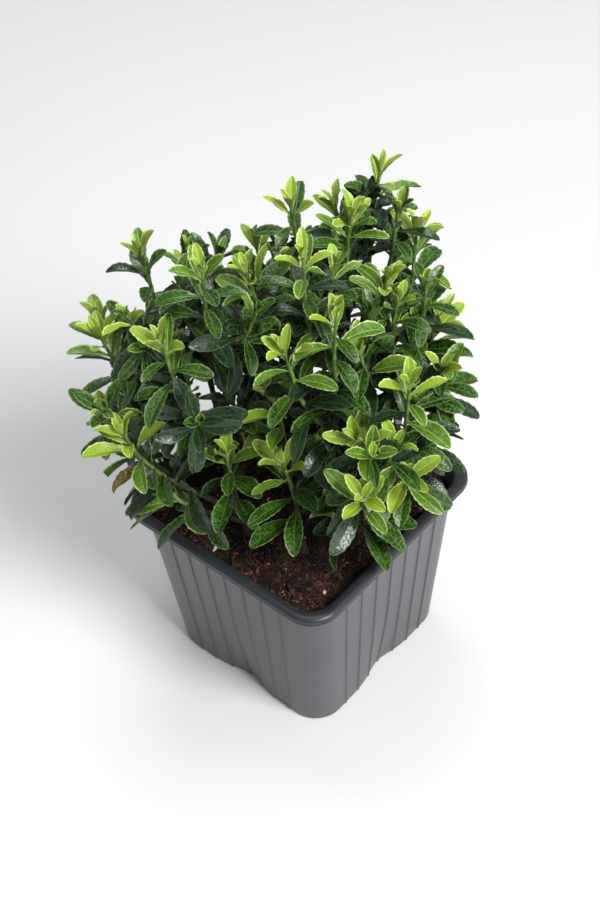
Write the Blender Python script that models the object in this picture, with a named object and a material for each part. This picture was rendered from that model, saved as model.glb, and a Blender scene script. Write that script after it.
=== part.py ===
"""A japanese spindle, a small evergreen shrub, growing in its ribbed square nursery pot.

Seven short stems stand in the compost. Boughs fork from the taller ones, and each bough
ends where it meets a mass of leafy shoots. Units are metres, +Z is up, and the origin is
the centre of the pot's flat underside.
"""
import math
import random

import bmesh
import bpy
import numpy as np
from mathutils import Matrix, Vector

# Pot
RIM_HALF = 0.060
RIM_CORNER = 0.0145
RIM_TOP = 0.100
RIM_ROLL = 0.0030
RIM_INSET = 0.0052
RIM_DRAFT = 0.0004
RIM_CHAMFER = 0.3
SKIRT_RISE = 0.0008
WALL_TOP_HALF = 0.0551
WALL_FOOT_HALF = 0.0479
WALL_CORNER = 0.0144
WALL_TOP = 0.0950
WALL = 0.0013
BASE = 0.0020
RIBS = 7
RIB_REACH = 0.60
RIB_WIDTH = 0.0012
RIB_HEIGHT = 0.0006
PINCH_DEPTH = 0.0034
PINCH_WIDTH = 0.0105
PINCH_TOP = 0.050
PINCH_FADE = 1.4
WALL_LEVELS = (0.0, 0.25, 0.58, 1.0)
CORNER_STEPS = 4
DRAIN_RADIUS = 0.0045
DRAIN_OFFSET = 0.027
DRAIN_SIDES = 12
CAVITY_ABOVE = 0.005

# Compost
SOIL_TOP = 0.0900
SOIL_DIP = 0.0016
SOIL_SHOULDER = 0.86
GAP = 0.0003

# Stems: name, foot x and y, lean as x and y per metre of height, height, radius
STEMS = (
    ("stem_left", -0.028, -0.010, -0.10, -0.10, 0.038, 0.0031),
    ("stem_back", -0.012, 0.022, -0.05, 0.12, 0.040, 0.0030),
    ("stem_middle", 0.008, 0.000, 0.10, -0.05, 0.036, 0.0027),
    ("stem_right", 0.030, 0.020, 0.16, 0.10, 0.036, 0.0029),
    ("stem_front", -0.007, -0.029, -0.10, -0.15, 0.018, 0.0024),
    ("stem_front_low", 0.020, -0.022, -0.05, 0.00, 0.014, 0.0018),
    ("stem_right_low", 0.036, -0.004, 0.30, -0.10, 0.012, 0.0018),
)
STEM_TAPER = 0.74
FLARE_HEIGHT = 0.006
FLARE = 1.55
FLARE_WAIST = 0.25
WAIST_FLARE = 1.25

# Masses of foliage, lowest on each stem first: name, stem, compass angle and distance out
# from the pot's centre line of the leading shoot's tip, its height above the compost, and
# the number of side shoots
MASSES = (
    ("left_low_back", "stem_left", -160, 0.072, 0.070, 2),
    ("left_back", "stem_left", 174, 0.068, 0.100, 2),
    ("left_out", "stem_left", -138, 0.079, 0.111, 2),
    ("left_front", "stem_left", -114, 0.056, 0.126, 2),
    ("left_top", "stem_left", -150, 0.060, 0.144, 2),
    ("left_mid", "stem_left", -110, 0.036, 0.158, 2),
    ("back_low", "stem_back", 150, 0.068, 0.060, 2),
    ("back_out", "stem_back", 112, 0.072, 0.092, 2),
    ("back_left", "stem_back", 146, 0.052, 0.114, 2),
    ("back_right", "stem_back", 84, 0.056, 0.160, 2),
    ("top_right", "stem_back", 69, 0.032, 0.156, 2),
    ("top_back", "stem_back", 122, 0.022, 0.157, 2),
    ("front_right", "stem_middle", -4, 0.060, 0.080, 1),
    ("front_mid", "stem_middle", -73, 0.017, 0.084, 2),
    ("mid", "stem_middle", -15, 0.036, 0.142, 2),
    ("top_mid", "stem_middle", -25, 0.020, 0.162, 2),
    ("right_low", "stem_right", 20, 0.056, 0.078, 2),
    ("right_back", "stem_right", 64, 0.060, 0.140, 2),
    ("right_front", "stem_right", 7, 0.059, 0.105, 2),
    ("right_out", "stem_right", 48, 0.063, 0.106, 2),
    ("right_mid", "stem_right", 32, 0.046, 0.128, 2),
    ("left_corner", "stem_front", -113, 0.064, 0.046, 0),
    ("left_low", "stem_front", -114, 0.078, 0.084, 2),
    ("front_left", "stem_front", -101, 0.038, 0.058, 0),
    ("front", "stem_front_low", -58, 0.033, 0.062, 0),
    ("low_right", "stem_right_low", -11, 0.052, 0.044, 0),
)

# Where the photograph's eye is, from the pot's foot
EYE = (0.339, -0.364, 0.652)
# Gaps in the crown that the photograph shows, each open along its line of sight: compass angle
# and distance out, height above the compost, and the gap's half width
GAPS = (
    (-145, 0.050, 0.139, 0.0045),
    (-139, 0.071, 0.137, 0.0060),
    (-137, 0.062, 0.132, 0.0045),
    (-123, 0.087, 0.113, 0.0045),
    (-122, 0.039, 0.089, 0.0050),
    (52, 0.040, 0.137, 0.0035),
    (30, 0.027, 0.122, 0.0030),
)

# Limbs and shoots
BOUGH_RADIUS = 0.0017
BOUGH_TIP_RADIUS = 0.0012
BOUGH_LEAVES_LOW = 0.34
BOUGH_FROM = 0.075
MASS_LENGTH = 0.094
MASS_SHARE = 0.74
BOUGH_LEANS = (48, 58, 68, 38)
BOUGH_TWISTS = (0, 20, -20, 40, -40)
BOUGH_SHARE = 0.7
BOUGH_GAP = 0.0009
TIP_LEAN = 12
SIDE_SPREAD = 0.023
SIDE_SPREADS = (0.8, 1.15)
SIDE_TURN = 110
SIDE_TURN_VARIES = 30
SIDE_LEAVES_LOW = 0.16
SIDE_LEAVES_STEP = 0.17
SIDE_LEAVES_VARIES = 0.4
SIDE_TRIES = 12
SIDE_DROP = 0.012
SIDE_DROPS = (0.5, 1.6)
SIDE_DROP_STEP = 0.7
SIDE_LEAN = 46
TWIG_RADIUS = 0.0016
TWIG_TIP_RADIUS = 0.0011
TWIG_STEP = 0.013
PATH_STEP = 0.0015
PATH_BEND = 0.38
CLEAR_STEP = 0.00005
TWIG_CLEAR = 0.0045

# Leaves
NODE_STEP = 0.003
NODE_STEP_GROWS = 0.001
NODE_STEP_MOST = 0.010
# The pairs of leaves are closer together on the low shoots
NODE_STEP_LOW = 0.0035
NODE_STEP_RISES = 0.065
NODE_FREE = 0.005
LEAF_NODE_STRIDE = 3
PAIR_TURN = 90
SHOOT_TURN = 40
LEAF_LENGTHS = (0.0115, 0.0135, 0.016, 0.0185, 0.021, 0.023, 0.0245, 0.0245, 0.023, 0.022)
LEAF_ANGLES = (20, 26, 36, 46, 56, 64, 70, 76, 80, 84)
LEAF_SIZES = (0.88, 1.10)
LEAF_ANGLE_VARIES = 9
LEAF_ANGLE_LEAST = 8
LEAF_TURN_VARIES = 14
LEAF_WIDTH = 0.36
LEAF_GROWTH = 1.26
LEAF_BREADTH = 1.30
LEAF_OUTLINE = ((0.25, 0.6), (0.5, 1.0), (0.75, 0.7), (1.0, 0.0))
LEAF_WIDEST = 0.52
LEAF_FOLD = 0.6
LEAF_THICK = 0.0008
LEAF_ARCH = 0.05
LEAF_DROOP = 0.07
LEAF_ROOTS = (0.0004, 0.0005)
WELD = 0.000002
SPACE_MARGIN = 0.0007
LIMB_CLEAR = 0.0012
RIM_CLEAR = 0.0016
LEAF_TRIES = (
    (0, 0, 1.0), (18, 0, 1.0), (-18, 0, 1.0), (0, 16, 0.9), (30, 10, 0.85), (-30, 10, 0.85),
    (0, 30, 0.75), (45, 20, 0.7), (-45, 20, 0.7), (0, 40, 0.6),
)

UP = Vector((0, 0, 1))


# Scene

def clear_scene():
    for item in list(bpy.data.objects):
        bpy.data.objects.remove(item, do_unlink=True)


def new_collection(name):
    made = bpy.data.collections.new(name)
    bpy.context.scene.collection.children.link(made)
    return made


def finish(name, colour, roughness, metallic=0.0):
    made = bpy.data.materials.new(name)
    made.use_nodes = True
    shader = made.node_tree.nodes["Principled BSDF"]
    shader.inputs["Base Color"].default_value = (*colour, 1)
    shader.inputs["Roughness"].default_value = roughness
    shader.inputs["Metallic"].default_value = metallic
    return made


def add_object(name, mesh, collection, material=None):
    made = bpy.data.objects.new(name, mesh)
    collection.objects.link(made)
    if material:
        mesh.materials.clear()
        mesh.materials.append(material)
    return made


def mesh_of(item):
    """The object's shape as the viewport shows it."""
    graph = bpy.context.evaluated_depsgraph_get()
    return bpy.data.meshes.new_from_object(item.evaluated_get(graph))


def weld_caps(mesh):
    shape = bmesh.new()
    shape.from_mesh(mesh)
    bmesh.ops.remove_doubles(shape, verts=shape.verts, dist=0.00001)
    bmesh.ops.recalc_face_normals(shape, faces=shape.faces)
    shape.to_mesh(mesh)
    shape.free()


# Pot and compost

def square_outline(half, corner, places, bump=0.0, pinch=0.0):
    """Points round a square with round corners, with a bump at each place on its sides."""
    side = []
    for place in places:
        inward = pinch * math.exp(-(place / PINCH_WIDTH) ** 2)
        if bump is None:
            side.append((half - inward, place))
            continue
        side.append((half - inward, place - RIB_WIDTH / 2))
        side.append((half - inward + bump, place))
        side.append((half - inward, place + RIB_WIDTH / 2))
    centre = half - corner
    for step in range(CORNER_STEPS + 1):
        angle = math.radians(90 * step / CORNER_STEPS)
        side.append((centre + corner * math.cos(angle), centre + corner * math.sin(angle)))
    points = []
    for quarter in range(4):
        turn = Matrix.Rotation(math.radians(90 * quarter), 2)
        points += [turn @ Vector(point) for point in side]
    return points


def rib_places(half):
    middle = (RIBS - 1) / 2
    return [RIB_REACH * half * (number - middle) / middle for number in range(RIBS)]


def loft(levels):
    """A closed skin through outlines, each with its height."""
    shape = bmesh.new()
    rings = []
    for height, points in levels:
        corners = [shape.verts.new((point.x, point.y, height)) for point in points]
        after = corners[1:] + corners[:1]
        rings.append([shape.edges.new(pair) for pair in zip(corners, after)])
    for low, high in zip(rings, rings[1:]):
        bmesh.ops.bridge_loops(shape, edges=low + high)
    for end in (rings[0], rings[-1]):
        bmesh.ops.contextual_create(shape, geom=end)
    bmesh.ops.triangulate(shape, faces=[face for face in shape.faces if len(face.verts) > 4])
    bmesh.ops.recalc_face_normals(shape, faces=shape.faces)
    mesh = bpy.data.meshes.new("loft")
    shape.to_mesh(mesh)
    shape.free()
    return mesh


def wall_half(height):
    share = height / WALL_TOP
    return WALL_FOOT_HALF + (WALL_TOP_HALF - WALL_FOOT_HALF) * share


def pinch_at(height):
    return PINCH_DEPTH * max(0.0, 1 - height / PINCH_TOP) ** PINCH_FADE


def pot_skin():
    levels = []
    for share in WALL_LEVELS:
        height = share * PINCH_TOP
        half = wall_half(height)
        ribs = rib_places(half)
        levels.append((height, square_outline(half, WALL_CORNER, ribs, RIB_HEIGHT, pinch_at(height))))
    ribs = rib_places(WALL_TOP_HALF)
    levels.append((WALL_TOP, square_outline(WALL_TOP_HALF, WALL_CORNER, ribs, RIB_HEIGHT)))
    chamfer = RIM_ROLL * RIM_CHAMFER
    rim = (
        (WALL_TOP + SKIRT_RISE, RIM_HALF - RIM_DRAFT),
        (RIM_TOP - RIM_ROLL, RIM_HALF),
        (RIM_TOP - chamfer, RIM_HALF - chamfer),
        (RIM_TOP, RIM_HALF - RIM_ROLL),
        (RIM_TOP - RIM_DRAFT, RIM_HALF - RIM_INSET),
    )
    for height, half in rim:
        corner = RIM_CORNER - (RIM_HALF - half)
        levels.append((height, square_outline(half, corner, ())))
    return loft(levels)


def inner_outline(height, inset):
    half = wall_half(height) - WALL - inset
    places = rib_places(half)[1:-1]
    return square_outline(half, WALL_CORNER - WALL - inset, places, None, pinch_at(height))


def build_pot(collection, cutters, material):
    pot = add_object("pot", pot_skin(), collection, material)
    heights = [BASE] + [share * PINCH_TOP for share in WALL_LEVELS[1:]] + [RIM_TOP + CAVITY_ABOVE]
    cavity = add_object("pot_cavity", loft([(z, inner_outline(z, 0.0)) for z in heights]), cutters)
    tools = [cavity]
    for across in (-1, 1):
        for along in (-1, 1):
            place = (across * DRAIN_OFFSET, along * DRAIN_OFFSET, 0)
            bpy.ops.mesh.primitive_cylinder_add(
                vertices=DRAIN_SIDES, radius=DRAIN_RADIUS, depth=BASE * 3, location=place)
            hole = bpy.context.object
            hole.name = "drain_hole"
            for owner in list(hole.users_collection):
                owner.objects.unlink(hole)
            cutters.objects.link(hole)
            tools.append(hole)
    for tool in tools:
        tool.hide_render = True
        tool.display_type = "WIRE"
        cut = pot.modifiers.new(tool.name, "BOOLEAN")
        cut.object = tool
        cut.operation = "DIFFERENCE"


def build_compost(collection, material):
    foot = BASE + GAP
    edge = SOIL_TOP - SOIL_DIP
    heights = [foot] + [share * PINCH_TOP for share in WALL_LEVELS[1:]] + [edge]
    levels = [(z, inner_outline(z, GAP)) for z in heights]
    shoulder = [point * SOIL_SHOULDER for point in inner_outline(SOIL_TOP, GAP)]
    levels.append((SOIL_TOP, shoulder))
    add_object("compost", loft(levels), collection, material)


# Paths

def smooth_path(start, start_way, end, end_way):
    """Points a small step apart on one smooth bend from start to end."""
    reach = (end - start).length * PATH_BEND
    first = start + start_way.normalized() * reach
    second = end - end_way.normalized() * reach
    count = max(8, int((end - start).length / PATH_STEP))
    points = []
    for step in range(count + 1):
        t = step / count
        s = 1 - t
        points.append(start * s ** 3 + first * 3 * s * s * t + second * 3 * s * t * t + end * t ** 3)
    return points


def path_length(points):
    return sum((after - before).length for before, after in zip(points, points[1:]))


def place_on(points, distance):
    """The point at a distance along a path, and the way the path goes there."""
    for before, after in zip(points, points[1:]):
        step = after - before
        if distance <= step.length:
            return before + step * (distance / step.length), step.normalized()
        distance -= step.length
    return points[-1].copy(), (points[-1] - points[-2]).normalized()


def cut_path(points, start, end):
    count = max(2, int((end - start) / PATH_STEP))
    return [place_on(points, start + (end - start) * step / count)[0] for step in range(count + 1)]


def tilted(angle, compass):
    """A unit vector that leans from the vertical by an angle, towards a compass angle."""
    lean = math.radians(angle)
    turn = math.radians(compass)
    return Vector((math.sin(lean) * math.cos(turn), math.sin(lean) * math.sin(turn), math.cos(lean)))


def compass_of(way):
    return math.degrees(math.atan2(way.y, way.x))


# The shrub's plan: stems, boughs and shoots as paths

def plan_stems():
    stems = {}
    for name, x, y, lean_x, lean_y, height, radius in STEMS:
        foot = Vector((x, y, SOIL_TOP + GAP))
        top = foot + Vector((lean_x * height, lean_y * height, height))
        stems[name] = {"path": smooth_path(foot, UP, top, Vector((lean_x, lean_y, 1))), "radius": radius}
    return stems


def stem_radius(stem, share):
    return stem["radius"] * (1 - (1 - STEM_TAPER) * share)


def samples_of(paths):
    return np.array([tuple(point) for path in paths for point in path])


def distances(points, others):
    """How far each point is from each of the others."""
    return np.sqrt(((points[:, None, :] - others[None, :, :]) ** 2).sum(axis=2))


def nearest(points, others):
    return distances(points, others).min(axis=1)


def limb_space(path, first, last):
    """The room that a tapering limb takes up: places on its axis and its radius at each."""
    return samples_of([path]), np.linspace(first, last, len(path))


def stem_space(stem):
    return limb_space(stem["path"], stem["radius"], stem_radius(stem, 1))


def room(points, space):
    """How far the nearest of some points is from a limb's surface."""
    axis, radii = space
    return (distances(points, axis) - radii).min()


def ring_round(place, way, radius):
    side = way.orthogonal().normalized() * radius
    return [place + Matrix.Rotation(math.radians(45 * step), 3, way) @ side for step in range(8)]


def clear_start(route, stem):
    """How far along a route a bough can start without touching its stem."""
    distance = 0.0
    while distance < path_length(route) / 2:
        place, way = place_on(route, distance)
        if room(samples_of([ring_round(place, way, BOUGH_RADIUS)]), stem) > GAP:
            return distance
        distance += CLEAR_STEP
    return None


def bough_route(start, away, tip, end_way, stem, others):
    """The first way out of a stem that keeps a bough clear of the limbs that are there."""
    for twist in BOUGH_TWISTS:
        for lean in BOUGH_LEANS:
            route = smooth_path(start, tilted(lean, away + twist), tip, end_way)
            clear = clear_start(route, stem)
            if clear is None:
                continue
            points = samples_of([cut_path(route, clear, path_length(route) * BOUGH_SHARE)])
            apart = all(room(points, other) > BOUGH_RADIUS + BOUGH_GAP for other in others)
            if apart and room(points, stem) > GAP:
                return route, clear
    raise ValueError("no clear way for a bough")


def plan_leaders(stems):
    """Each mass's leader, from its place on the stem, and the bough that carries it."""
    plans = []
    limbs = {name: stem_space(stem) for name, stem in stems.items()}
    for name, stem_name, compass, out, height, sides in MASSES:
        stem = stems[stem_name]
        mates = [row[0] for row in MASSES if row[1] == stem_name]
        rank = mates.index(name)
        tip = tilted(90, compass) * out + UP * (SOIL_TOP + height)
        last = rank == len(mates) - 1
        share = 1.0 if last else BOUGH_LEAVES_LOW + (1 - BOUGH_LEAVES_LOW) * rank / (len(mates) - 1)
        start, way = place_on(stem["path"], share * path_length(stem["path"]))
        away = compass_of(tip - start)
        end_way = tilted(TIP_LEAN, away)
        if last:
            route = smooth_path(start, way, tip, end_way)
            clear = GAP
        else:
            others = [space for key, space in limbs.items() if key != stem_name]
            route, clear = bough_route(start, away, tip, end_way, limbs[stem_name], others)
        whole = path_length(route)
        alone = last and whole < BOUGH_FROM
        mass = whole - clear if alone else min(MASS_LENGTH, MASS_SHARE * whole)
        plan = {"name": name, "sides": sides, "compass": compass}
        plan["bough"] = None if alone else cut_path(route, clear, whole - mass - GAP)
        plan["leader"] = cut_path(route, whole - mass, whole)
        plan["apart"] = min(NODE_STEP_LOW + NODE_STEP_RISES * height, NODE_STEP_MOST)
        if plan["bough"]:
            limbs[name] = limb_space(plan["bough"], BOUGH_RADIUS, BOUGH_TIP_RADIUS)
        plans.append(plan)
    return plans


def side_shoot(plan, number, draw):
    """A shoot that leaves a leader and turns up to a tip beside and below the leader's own."""
    leader = plan["leader"]
    turn = SIDE_TURN if number else -SIDE_TURN
    compass = plan["compass"] + turn + draw.uniform(-SIDE_TURN_VARIES, SIDE_TURN_VARIES)
    share = SIDE_LEAVES_LOW + SIDE_LEAVES_STEP * (number + draw.uniform(0, SIDE_LEAVES_VARIES))
    start, way = place_on(leader, share * path_length(leader))
    out = tilted(90, compass)
    drop = SIDE_DROP * (draw.uniform(*SIDE_DROPS) + SIDE_DROP_STEP * number)
    end = leader[-1] + out * SIDE_SPREAD * draw.uniform(*SIDE_SPREADS) - UP * drop
    leave = way + out * math.tan(math.radians(SIDE_LEAN))
    return smooth_path(start, leave, end, tilted(TIP_LEAN, compass))


def in_gaps(points):
    """Whether any of some places lies in a gap of the crown."""
    for compass, out, height, half in GAPS:
        turn = math.radians(compass)
        middle = np.array((out * math.cos(turn), out * math.sin(turn), SOIL_TOP + height))
        sight = (middle - EYE) / np.linalg.norm(middle - EYE)
        away = points - middle
        aside = away - (away @ sight)[:, None] * sight
        if np.linalg.norm(aside, axis=1).min() < half:
            return True
    return False


class Spaces:
    """Which mass each place belongs to, and how near the limbs are."""

    def __init__(self, stems, plans):
        boughs = [plan["bough"] for plan in plans if plan["bough"]]
        self.limbs = [stem_space(stem) for stem in stems.values()]
        self.limbs += [limb_space(path, BOUGH_RADIUS, BOUGH_TIP_RADIUS) for path in boughs]
        self.twigs = [samples_of([plan["leader"]]) for plan in plans]

    def add_twig(self, mass, path):
        self.twigs[mass] = np.vstack((self.twigs[mass], samples_of([path])))

    def others(self, mass):
        return np.vstack([twigs for index, twigs in enumerate(self.twigs) if index != mass])

    def off_limbs(self, points, clear):
        return all(room(points, space) > clear for space in self.limbs)

    def off_pot(self, points):
        across = np.abs(points[:, :2]).max(axis=1)
        height = points[:, 2]
        over_rim = (across > WALL_TOP_HALF - WALL - RIM_CLEAR) & (across < RIM_HALF + RIM_CLEAR)
        inside = across <= WALL_TOP_HALF - WALL - RIM_CLEAR
        rim_free = np.all(height[over_rim] > RIM_TOP + RIM_CLEAR)
        soil_free = np.all(height[inside] > SOIL_TOP + RIM_CLEAR)
        return bool(rim_free and soil_free and np.all(height > SOIL_TOP - SIDE_DROP))

    def twig_fits(self, mass, path):
        points = samples_of([path])
        apart = nearest(points, self.others(mass)).min() > TWIG_CLEAR
        return apart and self.off_limbs(points, TWIG_CLEAR / 2) and self.off_pot(points)

    def leaf_fits(self, mass, points):
        own = nearest(points, self.twigs[mass])
        other = nearest(points, self.others(mass))
        at_home = bool(np.all(other - own > SPACE_MARGIN)) and not in_gaps(points)
        return at_home and self.off_pot(points) and self.off_limbs(points, LIMB_CLEAR)


def plan_shoots(plans, spaces):
    for index, plan in enumerate(plans):
        draw = random.Random("shoots " + plan["name"])
        plan["shoots"] = [plan["leader"]]
        for number in range(plan["sides"]):
            for _ in range(SIDE_TRIES):
                path = side_shoot(plan, number, draw)
                if spaces.twig_fits(index, path):
                    spaces.add_twig(index, path)
                    plan["shoots"].append(path)
                    break


# Leaves

def leaf_frame(way, angle, turn):
    """The axes along, across and out of the upper side of a leaf that leaves a twig at an angle."""
    side = Matrix.Rotation(math.radians(turn), 3, way) @ way.cross(UP).normalized()
    lean = math.radians(angle)
    along = way * math.cos(lean) + side * math.sin(lean)
    face = way * math.sin(lean) - side * math.cos(lean)
    across = face.cross(along)
    return Matrix((along, across, face)).transposed()


def blade_lift(long, share):
    """How far a leaf's blade is above its root's line, at a share of its length."""
    return LEAF_ARCH * long * (1 - abs(2 * share - 1)) - LEAF_DROOP * long * share ** 2


def leaf_points(long, wide):
    """Places over a leaf's blade that have to keep to the mass's space."""
    points = []
    for share, width in LEAF_OUTLINE:
        for side in (-1, 0, 1):
            points.append(Vector((share * long, side * width * wide / 2, blade_lift(long, share))))
    return points


def node_distances(long, apart):
    """Distances of the leaf nodes from a shoot's tip, closer together near the tip."""
    places = []
    distance = NODE_STEP / 2
    step = NODE_STEP
    while distance < long - NODE_FREE:
        places.append(distance)
        distance += step
        step = min(step + NODE_STEP_GROWS, apart)
    return places


def twig_line(path):
    """The few straight stretches that a twig is made of."""
    long = path_length(path)
    count = max(3, int(long / TWIG_STEP))
    return [place_on(path, long * step / count)[0] for step in range(count + 1)]


def plan_leaves(index, plan, spaces, stride):
    """Opposite pairs of leaves on each shoot, each pair turned from the last."""
    leaves = []
    for number, shoot in enumerate(plan["shoots"]):
        path = twig_line(shoot)
        long = path_length(path)
        for node, distance in enumerate(node_distances(long, plan["apart"])):
            if node % stride:
                continue
            root, way = place_on(path, long - distance)
            for side in (0, 1):
                draw = random.Random(f"{plan['name']} {number} {node} {side}")
                rank = min(node, len(LEAF_LENGTHS) - 1)
                size = LEAF_LENGTHS[rank] * draw.uniform(*LEAF_SIZES) * LEAF_GROWTH
                angle = LEAF_ANGLES[rank] + draw.uniform(-LEAF_ANGLE_VARIES, LEAF_ANGLE_VARIES)
                turn = PAIR_TURN * node + 180 * side + SHOOT_TURN * number
                turn += draw.uniform(-LEAF_TURN_VARIES, LEAF_TURN_VARIES)
                for twist, lift, scale in LEAF_TRIES:
                    axes = leaf_frame(way, max(angle - lift, LEAF_ANGLE_LEAST), turn + twist)
                    length = size * scale
                    width = length * LEAF_WIDTH * LEAF_BREADTH
                    spots = samples_of([[root + axes @ spot for spot in leaf_points(length, width)]])
                    if spaces.leaf_fits(index, spots):
                        leaves.append((axes, root, length, width))
                        break
    return leaves


# Solids

def limb(name, points, radii, collection, rounding, material=None):
    """A closed limb along a few points, with its own radius at each."""
    curve = bpy.data.curves.new(name, "CURVE")
    curve.dimensions = "3D"
    curve.bevel_depth = 1.0
    curve.bevel_resolution = rounding
    curve.use_fill_caps = True
    spline = curve.splines.new("POLY")
    spline.points.add(len(points) - 1)
    for corner, place, radius in zip(spline.points, points, radii):
        corner.co = (*place, 1)
        corner.radius = radius
    if material:
        curve.materials.append(material)
    made = bpy.data.objects.new(name, curve)
    collection.objects.link(made)
    return made


def tapering(points, first, last):
    return [first + (last - first) * index / (len(points) - 1) for index in range(len(points))]


def stem_solid(name, stem, collection, material):
    """A stem that flares at its flat foot and tapers to where its boughs have left it."""
    long = path_length(stem["path"])
    flare = FLARE_HEIGHT / long
    shares = (0, flare * FLARE_WAIST, flare, 0.5, 1)
    points = [place_on(stem["path"], share * long)[0] for share in shares]
    radii = [stem_radius(stem, share) for share in shares]
    radii[0] *= FLARE
    radii[1] *= WAIST_FLARE
    limb(name, points, radii, collection, 2, material)


def triangle_profile(collection):
    """A small triangle that the twigs take their three sides from."""
    curve = bpy.data.curves.new("twig_profile", "CURVE")
    curve.dimensions = "2D"
    spline = curve.splines.new("POLY")
    spline.points.add(2)
    for corner in range(3):
        angle = math.radians(120 * corner)
        spline.points[corner].co = (math.cos(angle), math.sin(angle), 0, 1)
    spline.use_cyclic_u = True
    made = bpy.data.objects.new("twig_profile", curve)
    made.hide_render = True
    made.display_type = "WIRE"
    collection.objects.link(made)
    return made


def bough_solid(name, path, collection, material):
    points = twig_line(path)
    limb(name, points, tapering(points, BOUGH_RADIUS, BOUGH_TIP_RADIUS), collection, 1, material)


def twig_mesh(path, profile, collection):
    points = twig_line(path)
    made = limb("twig", points, tapering(points, TWIG_RADIUS, TWIG_TIP_RADIUS), collection, 0)
    made.data.bevel_mode = "OBJECT"
    made.data.bevel_object = profile
    mesh = mesh_of(made)
    weld_caps(mesh)
    bpy.data.objects.remove(made, do_unlink=True)
    return mesh


def leaf_mesh(axes, start, long, wide, root):
    """A thin leaf of eight faces, with its root carried past the twig's centre line."""
    shape = bmesh.new()
    bmesh.ops.create_uvsphere(shape, u_segments=4, v_segments=2, radius=1.0)
    for vert in shape.verts:
        x, y, z = vert.co
        if x < -0.5:
            place = Vector((-root, 0, 0))
        elif x > 0.5:
            place = Vector((long, 0, -LEAF_DROOP * long))
        elif abs(y) > 0.5:
            place = Vector((long * LEAF_WIDEST, math.copysign(wide / 2, y), LEAF_ARCH * long))
        else:
            rib = LEAF_ARCH * LEAF_FOLD * long
            place = Vector((long * LEAF_WIDEST, 0, rib + math.copysign(LEAF_THICK / 2, z)))
        vert.co = start + axes @ place
    bmesh.ops.recalc_face_normals(shape, faces=shape.faces)
    mesh = bpy.data.meshes.new("leaf")
    shape.to_mesh(mesh)
    shape.free()
    return mesh


def largest_piece(mesh):
    """Keeps the main body of a fused mesh: loose scraps and sealed hollows are dropped."""
    shape = bmesh.new()
    shape.from_mesh(mesh)
    left = set(shape.faces)
    pieces = []
    while left:
        front = [left.pop()]
        piece = set(front)
        while front:
            face = front.pop()
            beside = {near for edge in face.edges for near in edge.link_faces} & left
            left -= beside
            piece |= beside
            front += beside
        pieces.append(piece)
    pieces.sort(key=len)
    scraps = [face for piece in pieces[:-1] for face in piece]
    bmesh.ops.delete(shape, geom=scraps, context="FACES")
    bmesh.ops.triangulate(shape, faces=shape.faces)
    shape.to_mesh(mesh)
    shape.free()


def flaws_of(mesh):
    """Where edges don't have two faces once points that almost touch are welded."""
    shape = bmesh.new()
    shape.from_mesh(mesh)
    bmesh.ops.remove_doubles(shape, verts=shape.verts, dist=WELD)
    flaws = [edge.verts[0].co.copy() for edge in shape.edges if len(edge.link_faces) != 2]
    shape.free()
    return flaws


def blade_gap(leaf, place):
    """How far a place is from a leaf's blade."""
    axes, start, long, wide = leaf
    along, across, up = axes.transposed() @ (place - start)
    share = min(max(along / long, 0), 1)
    half = wide / 2 * min(share / LEAF_WIDEST, (1 - share) / (1 - LEAF_WIDEST))
    return Vector((along - share * long, max(0, abs(across) - half), up - blade_lift(long, share))).length


def fused_mass(plan, leaves, root, twigs, work):
    """The mesh of a mass's twigs and leaves joined into a single body."""
    leader = add_object("leader", twigs[0], work)
    sprays = new_collection("fused_" + plan["name"])
    for twig in twigs[1:]:
        add_object("twig", twig, sprays)
    for leaf in leaves:
        add_object("leaf", leaf_mesh(*leaf, root), sprays)
    union = leader.modifiers.new("fuse", "BOOLEAN")
    union.operation = "UNION"
    union.operand_type = "COLLECTION"
    union.collection = sprays
    union.solver = "EXACT"
    fused = mesh_of(leader)
    largest_piece(fused)
    for item in list(sprays.objects) + [leader]:
        bpy.data.objects.remove(item, do_unlink=True)
    bpy.data.collections.remove(sprays)
    return fused


def mass_solid(plan, leaves, profile, work, collection, material):
    """One mass. Where its union has a flaw at both root depths, the leaf that lies there goes."""
    twigs = [twig_mesh(path, profile, work) for path in plan["shoots"]]
    flaws = [None]
    while flaws:
        for root in LEAF_ROOTS:
            fused = fused_mass(plan, leaves, root, twigs, work)
            flaws = flaws_of(fused)
            if not flaws:
                break
        if flaws:
            leaves.remove(min(leaves, key=lambda leaf: blade_gap(leaf, flaws[0])))
    add_object("foliage_" + plan["name"], fused, collection, material)


def main():
    clear_scene()
    parts = new_collection("japanese_spindle")
    work = new_collection("cutters")
    plastic = finish("pot_plastic", (0.075, 0.083, 0.090), 0.42)
    peat = finish("compost_peat", (0.055, 0.022, 0.012), 0.95)
    bark = finish("bark", (0.060, 0.052, 0.036), 0.80)
    leaf_green = finish("leaf_green", (0.045, 0.150, 0.022), 0.32)

    build_pot(parts, work, plastic)
    build_compost(parts, peat)
    stems = plan_stems()
    plans = plan_leaders(stems)
    spaces = Spaces(stems, plans)
    plan_shoots(plans, spaces)
    for name, stem in stems.items():
        stem_solid(name, stem, parts, bark)
    profile = triangle_profile(work)
    for index, plan in enumerate(plans):
        if plan["bough"]:
            bough_solid("bough_" + plan["name"], plan["bough"], parts, bark)
        leaves = plan_leaves(index, plan, spaces, LEAF_NODE_STRIDE)
        mass_solid(plan, leaves, profile, work, parts, leaf_green)


main()
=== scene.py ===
"""The looks of a japanese spindle in its ribbed square nursery pot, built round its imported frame.

The shrub grows here by the same seeded rule as its solids, carried on to finer twigs and to
every pair of leaves. Units are metres, +Z is up, and the origin is under the pot's middle.
"""

import math
import random

import bmesh
import bpy
import numpy as np
from mathutils import Matrix, Vector, noise


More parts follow.
